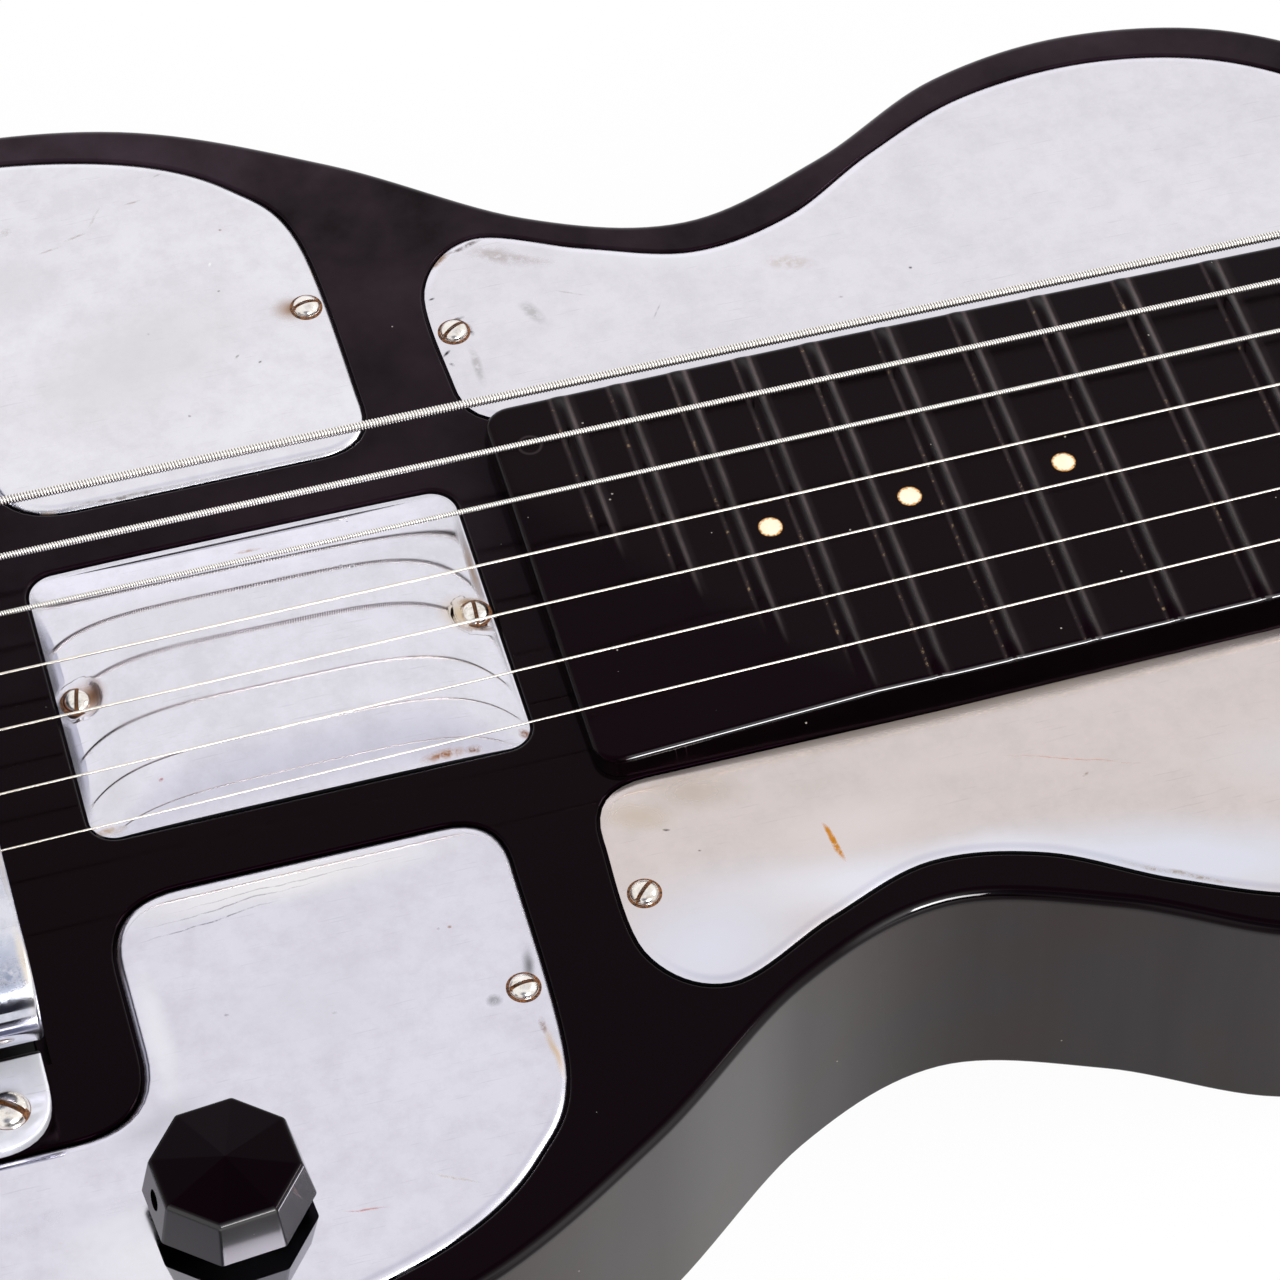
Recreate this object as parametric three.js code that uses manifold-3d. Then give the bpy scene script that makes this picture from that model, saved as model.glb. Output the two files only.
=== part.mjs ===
// A seven-string lap steel guitar: a moulded black body with five polished cover plates, a bolted
// neck with moulded frets, a horseshoe-magnet pickup, one volume control and seven geared tuners.
// Millimetres. X runs from the bridge saddle line (0) to the head, +Y is the bass side, +Z is up,
// and Z = 0 is the flat back that the guitar lies on.

import * as THREE from 'three';
import { mergeVertices } from 'three/addons/utils/BufferGeometryUtils.js';
import Module from 'manifold-3d';

const wasm = await Module();
wasm.setup();

// Overall sizes
const scaleLength = 571.5;
const fretCount = 23;
const tailLength = 58;
const bodyFrontLength = 308;
const bodyHalfWidth = 115;
const bodyDepth = 41.5;
const headLength = 105;
const bodyLength = tailLength + bodyFrontLength;

// Clearances
const seatGap = 0.1;
const fitGap = 0.3;
const stringGap = 0.2;
const nutGrooveGap = 0.6;
const turnGap = 0.5;
const overrun = 3;

// Body moulding
const bodyEdgeRadius = 2;
const bodyFrontCorner = 7.7;
const bodyFrontEase = 1.1;
const bodyFloor = 5;
const hollowCorner = 4;

// Cover plates
const plateThickness = 1.5;
const plateCrown = 0.3;
const plateEdgeRoll = 1.6;
const plateEdgeDrop = 0.9;
const plateNeckGap = 0.7;
const centrePlateStart = 67.5;
const centrePlateToBoard = 7.1;
const centrePlateHalfWidth = 24.8;
const centrePlateCorner = 4;
const centrePlateCrown = 3.4;
const centrePlateRim = 0.6;
const centreDimpleRadius = 3.3;
const centreDimpleRise = 0.3;
const lowerPlateFrontEdge = 123.4;
const lowerPlateNotchEdge = 67.2;
const lowerPlateInnerCorner = 8;
const lowerPlateNotchCorner = 9;
const upperPlateStart = 137.2;
const upperPlateCorner = 9;

// Plate screws
const screwHeadRadius = 2.5;
const screwHeadHeight = 1.3;
const screwShankRadius = 1.3;
const screwLength = 11;
const screwSlotWidth = 0.8;
const screwSlotDepth = 0.8;
const screwEdgeDistance = 3.4;
const centreScrewY = 0.4;
const slotTurnStart = 0.6;
const slotTurnStep = 1.1;

// Neck
const boardThickness = 5.4;
const boardPastLastFret = 11.8;
const neckHalfWidthAtStart = 33.4;
const neckHalfWidthAtNut = 28.2;
const neckSideDraft = 1.9;
const neckEdgeChamfer = 0.7;
const neckCornerCut = 4;
const neckDepth = 24;
const neckDepthAtNut = 19.5;
const neckRoundSteps = 8;
const tenonLength = 108;
const tenonHalfWidth = 21.7;
const neckOverlap = 6;
const fretWidth = 3;
const fretHeight = 0.65;
const handReliefDrop = 3;
const handReliefBassReach = 48;
const handReliefNeckReach = 42;

// Nut and head
const nutThickness = 2;
const nutCrown = 0.8;
const headDrop = 4;
const headThickness = 15.5;
const headHalfWidth = 40;
const headCorner = 12;

// Neck bolt
const boltPlace = 262;
const boltRadius = 3;
const boltHeadRadius = 6;
const boltHeadHeight = 4;
const boltRecess = 5;
const boltBite = 15;
const boltSlotWidth = 1.4;

// Strings, bass to treble
const stringRadii = [0.7, 0.5, 0.4, 0.3, 0.27, 0.24, 0.21];
const stringSpreadAtSaddle = 32;
const stringSpreadAtNut = 23.6;
const saddlePlaceShares = [1.015, 0.679, 0.343, -0.003, -0.318, -0.676, -0.981];
const nutPlaceShares = [1, 0.702, 0.372, 0.009, -0.32, -0.647, -0.994];
const stringHeightAtSaddle = 10.3;
const stringHeightAtNut = 9.6;
const stringHolePlace = 17;
const stringHoleRadius = 1.6;
const stringBreakHeight = 1.6;
const stringBendRadius = 3;
const ballRadius = 2.1;
const ballSeatRadius = 2.5;
const ballSeatDepth = 7;
const stringTurns = 1.5;
const stepsPerTurn = 8;
const stringSides = 5;

// Bridge
const bridgeHalfWidth = 38;
const bridgeFront = 6;
const bridgeBack = 9;
const bridgeFoot = 3.2;
const bridgeCrestHalfWidth = 1;
const bridgeCrown = 0.9;

// Pickup
const pickupCentre = 34.4;
const magnetHalfLength = 19;
const magnetThickness = 5;
const magnetBendRadius = 8.5;
const magnetRise = 6;
const magnetBendCentre = 54.9;
const magnetLowerLegEnd = 38;
const magnetBendSteps = 12;
const lugInnerEdge = 59.9;
const lugOuterEdge = 73.4;
const lugHalfLength = 18.4;
const lugCorner = 9;
const strapThickness = 1.6;
const wellDepth = 8;
const padWidth = 12;
const padInset = 3;
const bobbinHalfLength = 36.4;
const bobbinHalfWidth = 14;
const bobbinHeight = 13;
const bobbinFlange = 1.5;
const bobbinCoreWall = 1.5;
const coilThickness = 7;
const poleRadius = 2.5;
const poleTopGap = 0.9;
const combBarHeight = 4;
const pickupScrewHeadRadius = 3.3;
const pickupScrewHeadHeight = 1.9;
const pickupScrewShankRadius = 1.9;
const pickupScrewLength = 14;
const pickupScrewSpread = 12.2;
const pickupScrewPlace = 67.2;
const pickupScrewSlotWidth = 1.1;

// Volume control
const knobPlace = [72.6, -89];
const knobSides = 8;
const knobTurn = 0.484;
const setScrewFacet = 3;
const knobTopRadius = 10.45;
const knobBottomRadius = 11.85;
const knobHeight = 7.3;
const knobPeak = 1.4;
const knobChamfer = 0.6;
const knobGap = 3;
const shaftRadius = 3;
const shaftBite = 5.5;
const potRadius = 12;
const potHeight = 9;
const bushingRadius = 4.6;
const bushingRise = 1.6;
const setScrewHoleRadius = 1.6;

// Output jack and inner leads
const jackPlace = [4, -88];
const jackRadius = 7;
const jackNeckRadius = 5.2;
const jackNeckRise = 2.2;
const jackBore = 3.25;
const jackDepth = 20;
const leadRadius = 1;
const leadSides = 6;
const leadDrop = 5.9;
const controlPocketHalfWidth = 15;

// Tuners
const tunerPlaces = [21.5, 43.5, 65.5, 87.5];
const bassTunerCount = 4;
const tunerOffset = 24;
const postRadius = 3;
const postRise = 12.5;
const windingDrop = 4;
const gearRadius = 5.2;
const gearThickness = 4;
const gearTeeth = 14;
const gearToothDepth = 0.8;
const wormRadius = 2.4;
const wormLength = 8;
const wormShaftRadius = 1.5;
const tunerPlateThickness = 1.5;
const tunerPlateHalfWidth = 7.5;
const tunerPlateEnd = 10;
const earThickness = 1.2;
const earHalfWidth = 3;
const buttonRadius = 8.5;
const buttonThickness = 5;
const buttonLength = 13;
const buttonGap = 3;

// Places that follow from the sizes above
const neckStart = fretPlace(fretCount) - boardPastLastFret;
const centrePlateEnd = neckStart - centrePlateToBoard;
const boardTop = bodyDepth + boardThickness;
const headTop = boardTop - headDrop;
const headBottom = headTop - headThickness;
const plateTop = bodyDepth + plateCrown;
const plateBottom = plateTop - plateThickness;
const plateSeat = plateBottom - seatGap;
const neckBaseHalfWidth = neckHalfWidthAtStart + neckSideDraft;
const plateInnerY = neckBaseHalfWidth + plateNeckGap;

function fretPlace(fret) {
  return scaleLength * 2 ** (-fret / 12);
}

// Materials

function paint(color, roughness, metalness) {
  return new THREE.MeshStandardMaterial({ color, roughness, metalness });
}

const mouldedBlack = paint(0x1a1218, 0.12, 0);
const polishedPlate = paint(0xd9d8e2, 0.12, 1);
const screwMetal = paint(0xb9ab92, 0.25, 1);
const magnetMetal = paint(0xc9ccd6, 0.15, 1);
const stringMetal = paint(0xd5d2cc, 0.25, 1);
const castMetal = paint(0x9a978f, 0.35, 1);
const copperCoil = paint(0x7a3b1d, 0.5, 0.6);
const fibreBobbin = paint(0x2a2320, 0.7, 0);
const buttonPlastic = paint(0xe8dfc6, 0.35, 0);
const leadCover = paint(0x30302c, 0.8, 0);

// Solids: a closed three.js geometry is joined and cut as a manifold, then turned back

function toSolid(geometry) {
  const bare = geometry.clone();
  bare.deleteAttribute('normal');
  bare.deleteAttribute('uv');
  const merged = mergeVertices(bare, 1e-4);
  const mesh = new wasm.Mesh({
    numProp: 3,
    vertProperties: Float32Array.from(merged.attributes.position.array),
    triVerts: Uint32Array.from(merged.index.array),
  });
  return new wasm.Manifold(mesh);
}

function toGeometry(solid) {
  const mesh = solid.getMesh();
  const geometry = new THREE.BufferGeometry();
  geometry.setAttribute('position', new THREE.BufferAttribute(Float32Array.from(mesh.vertProperties), 3));
  geometry.setIndex(new THREE.BufferAttribute(Uint32Array.from(mesh.triVerts), 1));
  geometry.computeVertexNormals();
  return geometry;
}

function cut(geometry, tools) {
  let solid = toSolid(geometry);
  for (const tool of tools) {
    solid = solid.subtract(toSolid(tool));
  }
  return toGeometry(solid);
}

function join(geometries) {
  let solid = toSolid(geometries[0]);
  for (const next of geometries.slice(1)) {
    solid = solid.add(toSolid(next));
  }
  return toGeometry(solid);
}

// Shapes used by several pieces

function box(x0, x1, y0, y1, z0, z1) {
  const geometry = new THREE.BoxGeometry(x1 - x0, y1 - y0, z1 - z0);
  return geometry.translate((x0 + x1) / 2, (y0 + y1) / 2, (z0 + z1) / 2);
}

function rod(radius, x, y, z0, z1, sides = 12) {
  const geometry = new THREE.CylinderGeometry(radius, radius, z1 - z0, sides);
  return geometry.rotateX(Math.PI / 2).translate(x, y, (z0 + z1) / 2);
}

function turned(profile, sides = 12) {
  const points = profile.map(([radius, height]) => new THREE.Vector2(radius, height));
  return new THREE.LatheGeometry(points, sides).rotateX(Math.PI / 2);
}

function slab(shape, z0, z1, curveSegments = 4) {
  const geometry = new THREE.ExtrudeGeometry(shape, { depth: z1 - z0, bevelEnabled: false, curveSegments });
  return geometry.translate(0, 0, z0);
}

// A section drawn in Y and Z, drawn out along X
function alongX(section, x0, x1) {
  const turn = new THREE.Matrix4().makeBasis(
    new THREE.Vector3(0, 1, 0),
    new THREE.Vector3(0, 0, 1),
    new THREE.Vector3(1, 0, 0),
  );
  return slab(section, 0, x1 - x0).applyMatrix4(turn).translate(x0, 0, 0);
}

// A section drawn in X and Z, drawn out along Y
function alongY(section, y0, y1) {
  const turn = new THREE.Matrix4().makeBasis(
    new THREE.Vector3(1, 0, 0),
    new THREE.Vector3(0, 0, 1),
    new THREE.Vector3(0, -1, 0),
  );
  return slab(section, 0, y1 - y0).applyMatrix4(turn).translate(0, y1, 0);
}

function polygon(points) {
  return new THREE.Shape(points.map(([x, y]) => new THREE.Vector2(x, y)));
}

// A closed solid through rings that all have the same number of points
function skin(rings) {
  const count = rings[0].length;
  const positions = rings.flat().flat();
  const index = [];
  for (let level = 0; level < rings.length - 1; level += 1) {
    for (let i = 0; i < count; i += 1) {
      const a = level * count + i;
      const b = level * count + ((i + 1) % count);
      index.push(a, b, b + count, a, b + count, a + count);
    }
  }
  return { positions, index, count };
}

// Rings of one outline at rising heights, closed by a flat face below and above
function stack(levels) {
  const rings = levels.map(([outline, z]) => outline.map((p) => [p.x, p.y, z]));
  const { positions, index, count } = skin(rings);
  const top = (rings.length - 1) * count;
  const firstOutline = levels[0][0];
  const lastOutline = levels[levels.length - 1][0];
  for (const [a, b, c] of THREE.ShapeUtils.triangulateShape(firstOutline, [])) {
    index.push(a, c, b);
  }
  for (const [a, b, c] of THREE.ShapeUtils.triangulateShape(lastOutline, [])) {
    index.push(top + a, top + b, top + c);
  }
  const geometry = new THREE.BufferGeometry();
  geometry.setAttribute('position', new THREE.Float32BufferAttribute(positions, 3));
  geometry.setIndex(index);
  geometry.computeVertexNormals();
  return geometry;
}

// An outline as points, anticlockwise, without doubled points
function outlinePoints(shape, divisions) {
  const points = shape.getPoints(divisions);
  const kept = points.filter((p, i) => p.distanceTo(points[(i + 1) % points.length]) > 1e-3);
  return THREE.ShapeUtils.isClockWise(kept) ? kept.reverse() : kept;
}

// Each point moved inward along the mean of its two edge normals
function inset(points, distance) {
  return points.map((p, i) => {
    const before = points[(i + points.length - 1) % points.length];
    const after = points[(i + 1) % points.length];
    const first = p.clone().sub(before).normalize();
    const second = after.clone().sub(p).normalize();
    const normal = new THREE.Vector2(-first.y - second.y, first.x + second.x).normalize();
    const lean = Math.max(0.5, normal.dot(new THREE.Vector2(-second.y, second.x)));
    return p.clone().addScaledVector(normal, distance / lean);
  });
}

function mirrored(points) {
  return points.map((p) => new THREE.Vector2(p.x, -p.y)).reverse();
}

function roundedBox(x0, x1, y0, y1, radius) {
  const shape = new THREE.Shape();
  shape.moveTo(x0 + radius, y0);
  shape.lineTo(x1 - radius, y0);
  shape.absarc(x1 - radius, y0 + radius, radius, -Math.PI / 2, 0, false);
  shape.lineTo(x1, y1 - radius);
  shape.absarc(x1 - radius, y1 - radius, radius, 0, Math.PI / 2, false);
  shape.lineTo(x0 + radius, y1);
  shape.absarc(x0 + radius, y1 - radius, radius, Math.PI / 2, Math.PI, false);
  shape.lineTo(x0, y0 + radius);
  shape.absarc(x0 + radius, y0 + radius, radius, Math.PI, Math.PI * 1.5, false);
  return shape;
}

// A route given by its corners, walked corner to corner, so that a sweep gets one ring at each
class CornerRoute extends THREE.Curve {
  constructor(corners) {
    super();
    this.corners = corners;
  }

  getPoint(t, target = new THREE.Vector3()) {
    const last = this.corners.length - 1;
    const place = Math.min(Math.max(t, 0), 1) * last;
    const i = Math.min(Math.floor(place), last - 1);
    return target.lerpVectors(this.corners[i], this.corners[i + 1], place - i);
  }

  getUtoTmapping(u) {
    return u;
  }
}

function sweep(corners, radius, sides) {
  const section = new THREE.Shape();
  for (let i = 0; i < sides; i += 1) {
    const angle = (i / sides) * Math.PI * 2;
    const x = radius * Math.cos(angle);
    const y = radius * Math.sin(angle);
    if (i === 0) section.moveTo(x, y);
    else section.lineTo(x, y);
  }
  const extrudePath = new CornerRoute(corners);
  return new THREE.ExtrudeGeometry(section, { steps: corners.length - 1, extrudePath, bevelEnabled: false });
}

// A corner between two straight runs, rounded with a few points
function rounded(before, corner, after, radius, steps = 3) {
  const back = before.clone().sub(corner).normalize();
  const ahead = after.clone().sub(corner).normalize();
  const half = back.angleTo(ahead) / 2;
  const reach = radius / Math.tan(half);
  const start = corner.clone().addScaledVector(back, reach);
  const end = corner.clone().addScaledVector(ahead, reach);
  return new THREE.QuadraticBezierCurve3(start, corner, end).getPoints(steps);
}

// The body's outline: half of it as shares of the body's length from the tail and of its half width

const bodyOutlineShares = [
  [0, 0], [0.013, 0.33], [0.06, 0.626], [0.137, 0.852], [0.235, 0.974], [0.339, 0.998],
  [0.432, 0.954], [0.514, 0.815], [0.587, 0.646], [0.653, 0.578], [0.719, 0.64],
  [0.781, 0.741], [0.847, 0.769], [0.915, 0.715], [0.97, 0.57],
];

function bodyPoint([lengthShare, widthShare]) {
  return new THREE.Vector2(lengthShare * bodyLength - tailLength, widthShare * bodyHalfWidth);
}

function bodyOutline() {
  const half = bodyOutlineShares.map(bodyPoint);
  half.push(new THREE.Vector2(bodyFrontLength - bodyFrontEase, neckBaseHalfWidth + bodyFrontCorner));
  half.push(new THREE.Vector2(bodyFrontLength, neckBaseHalfWidth));
  const otherHalf = half.slice(1).map((p) => new THREE.Vector2(p.x, -p.y));
  const knots = [...half.slice().reverse(), ...otherHalf];
  const stepsPerKnot = 2;
  const curve = new THREE.SplineCurve(knots);
  return curve.getPoints((knots.length - 1) * stepsPerKnot);
}

// Cover plate outlines on the bass side, in the same shares where they follow the body

const lowerPlateRimShares = [
  [0.492, 0.69], [0.471, 0.81], [0.434, 0.891], [0.377, 0.94], [0.31, 0.95],
  [0.235, 0.918], [0.15, 0.806], [0.075, 0.6], [0.045, 0.42],
];
const lowerPlateTailShares = [[0.07, 0.31], [0.105, 0.4], [0.15, 0.55], [0.21, 0.635]];
const upperPlateWaistShares = [
  [0.5345, 0.56], [0.562, 0.632], [0.608, 0.572], [0.652, 0.526], [0.697, 0.553],
  [0.741, 0.634], [0.789, 0.7], [0.847, 0.716], [0.902, 0.672], [0.944, 0.57], [0.963, 0.44],
];

function lowerPlateOutline() {
  const notchY = lugOuterEdge + plateNeckGap;
  const shape = new THREE.Shape();
  const inner = plateInnerY;
  shape.moveTo(lowerPlateNotchEdge + lowerPlateInnerCorner, inner);
  shape.lineTo(lowerPlateFrontEdge - lowerPlateInnerCorner, inner);
  shape.quadraticCurveTo(lowerPlateFrontEdge, inner, lowerPlateFrontEdge, inner + lowerPlateInnerCorner);
  const rim = lowerPlateRimShares.map(bodyPoint);
  const tail = lowerPlateTailShares.map(bodyPoint);
  const rimEnd = rim[rim.length - 1];
  const tailEnd = tail[tail.length - 1];
  shape.splineThru(rim);
  shape.quadraticCurveTo(rimEnd.x, tail[0].y, tail[0].x, tail[0].y);
  shape.splineThru(tail.slice(1));
  shape.lineTo(tailEnd.x + lowerPlateNotchCorner, notchY);
  shape.lineTo(lowerPlateNotchEdge - lowerPlateNotchCorner, notchY);
  shape.quadraticCurveTo(lowerPlateNotchEdge, notchY, lowerPlateNotchEdge, notchY - lowerPlateNotchCorner);
  shape.lineTo(lowerPlateNotchEdge, inner + lowerPlateInnerCorner);
  shape.quadraticCurveTo(lowerPlateNotchEdge, inner, lowerPlateNotchEdge + lowerPlateInnerCorner, inner);
  return outlinePoints(shape, 2);
}

function upperPlateOutline() {
  const inner = plateInnerY;
  const shape = new THREE.Shape();
  const waist = upperPlateWaistShares.map(bodyPoint);
  const end = waist[waist.length - 1];
  shape.moveTo(upperPlateStart + upperPlateCorner, inner);
  shape.quadraticCurveTo(upperPlateStart, inner, upperPlateStart, inner + upperPlateCorner);
  shape.splineThru(waist);
  shape.quadraticCurveTo(end.x, inner, end.x - upperPlateCorner, inner);
  return outlinePoints(shape, 2);
}

function centrePlateOutline() {
  const half = centrePlateHalfWidth;
  return outlinePoints(roundedBox(centrePlateStart, centrePlateEnd, -half, half, centrePlateCorner), 2);
}

const lowerPlate = lowerPlateOutline();
const upperPlate = upperPlateOutline();
const plateOutlines = {
  plate_centre: centrePlateOutline(),
  plate_lower_bass: lowerPlate,
  plate_lower_treble: mirrored(lowerPlate),
  plate_upper_bass: upperPlate,
  plate_upper_treble: mirrored(upperPlate),
};

// Screw places on the bass side: the treble side mirrors them

const lowerScrewShares = [[0.4855, 0.573], [0.235, 0.885], [0.085, 0.39]];
const upperScrewShares = [[0.5415, 0.479], [0.93, 0.52]];

function plateScrewPlaces() {
  const places = [];
  for (const [side, sign] of [['bass', 1], ['treble', -1]]) {
    lowerScrewShares.map(bodyPoint).forEach((p, i) => {
      places.push([`screw_lower_${side}_${i + 1}`, p.x, p.y * sign]);
    });
    upperScrewShares.map(bodyPoint).forEach((p, i) => {
      places.push([`screw_upper_${side}_${i + 1}`, p.x, p.y * sign]);
    });
  }
  places.push(['screw_centre_1', centrePlateStart + screwEdgeDistance, centreScrewY]);
  places.push(['screw_centre_2', centrePlateEnd - screwEdgeDistance, centreScrewY]);
  return places;
}

const plateScrews = plateScrewPlaces();

// Strings: from the ball in the back, up through the body, over the saddle and nut, to the post

function stringHeight(x) {
  const atSaddle = bodyDepth + stringHeightAtSaddle;
  const atNut = boardTop + stringHeightAtNut;
  return atSaddle + ((atNut - atSaddle) * x) / scaleLength;
}

function tunerFor(stringNumber) {
  const onBassSide = stringNumber < bassTunerCount;
  const rank = onBassSide ? stringNumber : stringRadii.length - 1 - stringNumber;
  return { rank, side: onBassSide ? 1 : -1 };
}

function stringRoute(stringNumber) {
  const radius = stringRadii[stringNumber];
  const saddleY = saddlePlaceShares[stringNumber] * stringSpreadAtSaddle;
  const nutY = nutPlaceShares[stringNumber] * stringSpreadAtNut;
  const { rank, side } = tunerFor(stringNumber);
  const postX = scaleLength + tunerPlaces[rank];
  const postY = side * tunerOffset;
  const windRadius = (postRadius + radius + stringGap) / Math.cos(Math.PI / stepsPerTurn);
  const pitch = 2 * radius + turnGap;
  const windTop = headTop + postRise - windingDrop;
  const ball = new THREE.Vector3(-stringHolePlace, saddleY, ballSeatDepth - ballRadius);
  const hole = new THREE.Vector3(-stringHolePlace, saddleY, bodyDepth + stringBreakHeight);
  const saddle = new THREE.Vector3(0, saddleY, stringHeight(0));
  const nut = new THREE.Vector3(scaleLength, nutY, stringHeight(scaleLength));
  const post = new THREE.Vector3(postX, postY - side * windRadius, windTop);
  const corners = [
    ball,
    ...rounded(ball, hole, saddle, stringBendRadius),
    ...rounded(hole, saddle, nut, stringBendRadius),
    ...rounded(saddle, nut, post, stringBendRadius, 1),
    post,
  ];
  for (let step = 1; step <= stringTurns * stepsPerTurn; step += 1) {
    const turn = step / stepsPerTurn;
    const angle = side * (turn * Math.PI * 2 - Math.PI / 2);
    const x = postX + windRadius * Math.cos(angle);
    const y = postY + windRadius * Math.sin(angle);
    corners.push(new THREE.Vector3(x, y, windTop - pitch * turn));
  }
  return corners;
}

function stringPiece(stringNumber) {
  const radius = stringRadii[stringNumber];
  const corners = stringRoute(stringNumber);
  const { x, y, z } = corners[0];
  const ball = rod(ballRadius, x, y, z - ballRadius, z + ballRadius, 8);
  return join([sweep(corners, radius, stringSides), ball]);
}

// The least gap between one turn and the next around a post, measured on the winding's own points
function leastTurnGap() {
  let least = Infinity;
  stringRadii.forEach((radius, stringNumber) => {
    const turns = stringRoute(stringNumber).slice(-Math.floor(stringTurns * stepsPerTurn) - 1);
    for (let i = 0; i + stepsPerTurn < turns.length; i += 1) {
      least = Math.min(least, turns[i].distanceTo(turns[i + stepsPerTurn]) - 2 * radius);
    }
  });
  return least;
}

console.log(`least gap between string turns: ${leastTurnGap().toFixed(2)} mm`);

// The groove that a string lies in: it follows the string's underside and is open above
function stringGroove(stringNumber, middle, x0, x1, widening) {
  const route = stringRoute(stringNumber);
  const radius = stringRadii[stringNumber];
  const bend = stringBendRadius / 3;
  const floor = [x0, middle - bend, middle, middle + bend, x1].map((x) => {
    const i = route.findIndex((p, k) => k < route.length - 1 && p.x <= x && route[k + 1].x > x);
    const share = (x - route[i].x) / (route[i + 1].x - route[i].x);
    return [x, route[i].z + (route[i + 1].z - route[i].z) * share - radius - stringGap];
  });
  const open = floor[2][1] + stringHeightAtSaddle;
  const half = radius + widening;
  const isNut = middle > scaleLength / 2;
  const y = isNut ? nutPlaceShares[stringNumber] * stringSpreadAtNut
    : saddlePlaceShares[stringNumber] * stringSpreadAtSaddle;
  return alongY(polygon([...floor, [x1, open], [x0, open]]), y - half, y + half);
}

// Body

// Hollows under the plates, as shares of the body's length and half width: from, to, inner, outer
const hollowShares = [
  [0.364, 0.47, 0.39, 0.77],
  [0.2, 0.3, 0.715, 0.86],
  [0.55, 0.61, 0.385, 0.53],
  [0.695, 0.81, 0.385, 0.55],
  [0.83, 0.93, 0.385, 0.55],
];

function hollow(shares, sign) {
  const near = bodyPoint([shares[0], shares[2]]);
  const far = bodyPoint([shares[1], shares[3]]);
  const y0 = Math.min(near.y * sign, far.y * sign);
  const y1 = Math.max(near.y * sign, far.y * sign);
  return slab(roundedBox(near.x, far.x, y0, y1, hollowCorner), bodyFloor, bodyDepth, 3);
}

function bodyPiece() {
  const outline = bodyOutline();
  const top = bodyDepth;
  const outer = outlinePoints(new THREE.Shape(outline), 1);
  const shell = stack([
    [inset(outer, bodyEdgeRadius), 0],
    [outer, bodyEdgeRadius],
    [outer, top - bodyEdgeRadius],
    [inset(outer, bodyEdgeRadius * 0.3), top - bodyEdgeRadius * 0.3],
    [inset(outer, bodyEdgeRadius), top],
  ]);
  const tools = [];
  for (const points of Object.values(plateOutlines)) {
    tools.push(slab(new THREE.Shape(inset(points, -fitGap)), plateSeat, top + overrun));
  }
  for (const shares of hollowShares) {
    tools.push(hollow(shares, 1), hollow(shares, -1));
  }
  for (const [, x, y] of plateScrews) {
    tools.push(rod(screwShankRadius + stringGap, x, y, plateTop - screwLength - fitGap, top, 8));
  }
  const reach = magnetHalfLength + fitGap * 2;
  const wellY = lugInnerEdge + fitGap;
  tools.push(box(pickupCentre - reach, pickupCentre + reach, -wellY, wellY, top - wellDepth, top + overrun));
  for (const [, x, y] of pickupScrewPlaces()) {
    tools.push(rod(pickupScrewShankRadius + stringGap, x, y, top - pickupScrewLength, top, 8));
  }
  const slotY = tenonHalfWidth + fitGap;
  const slotStart = bodyFrontLength - tenonLength - fitGap;
  const slotEnd = bodyFrontLength + overrun;
  const slotFloor = boardTop - neckDepth - fitGap;
  tools.push(box(slotStart, slotEnd, -slotY, slotY, slotFloor, top + overrun));
  tools.push(rod(boltRadius + fitGap, boltPlace, 0, -overrun, boardTop, 12));
  tools.push(rod(boltHeadRadius + fitGap, boltPlace, 0, -overrun, boltRecess, 16));
  for (const share of saddlePlaceShares) {
    const y = share * stringSpreadAtSaddle;
    tools.push(rod(stringHoleRadius, -stringHolePlace, y, -overrun, top + overrun, 8));
    tools.push(rod(ballSeatRadius, -stringHolePlace, y, -overrun, ballSeatDepth + fitGap, 8));
  }
  tools.push(...controlPockets());
  return cut(shell, tools);
}

// Neck

function neckHalfWidth(x) {
  const share = (x - neckStart) / (scaleLength - neckStart);
  return neckHalfWidthAtStart + (neckHalfWidthAtNut - neckHalfWidthAtStart) * share;
}

function boardPiece(x0, x1) {
  const bottom = bodyDepth + seatGap;
  const corner = neckCornerCut;
  const w0 = neckHalfWidth(x0);
  const w1 = neckHalfWidth(x1);
  const shape = new THREE.Shape();
  shape.moveTo(x1, -w1);
  shape.lineTo(x1, w1);
  shape.lineTo(x0 + corner, w0);
  shape.quadraticCurveTo(x0, w0, x0, w0 - corner);
  shape.lineTo(x0, corner - w0);
  shape.quadraticCurveTo(x0, -w0, x0 + corner, -w0);
  const points = outlinePoints(shape, 4);
  return stack([
    [inset(points, -neckSideDraft), bottom],
    [points, boardTop - neckEdgeChamfer],
    [inset(points, neckEdgeChamfer), boardTop],
  ]);
}

function neckRing(x, depth) {
  const w = neckHalfWidth(x);
  const shoulder = boardTop - boardThickness;
  const ring = [
    [x, w - neckEdgeChamfer, boardTop],
    [x, neckEdgeChamfer - w, boardTop],
    [x, -w, boardTop - neckEdgeChamfer],
  ];
  for (let i = 0; i <= neckRoundSteps; i += 1) {
    const angle = Math.PI * (1 + i / neckRoundSteps);
    ring.push([x, w * Math.cos(angle), shoulder + (depth - boardThickness) * Math.sin(angle)]);
  }
  ring.push([x, w, boardTop - neckEdgeChamfer]);
  return ring;
}

function neckShaft(x0, x1) {
  const rings = [neckRing(x0, neckDepth), neckRing(x1, neckDepthAtNut)];
  const { positions, index, count } = skin(rings);
  for (let i = 1; i < count - 1; i += 1) {
    index.push(0, i + 1, i);
    index.push(count, count + i, count + i + 1);
  }
  const geometry = new THREE.BufferGeometry();
  geometry.setAttribute('position', new THREE.Float32BufferAttribute(positions, 3));
  geometry.setIndex(index);
  geometry.computeVertexNormals();
  return geometry;
}

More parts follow.
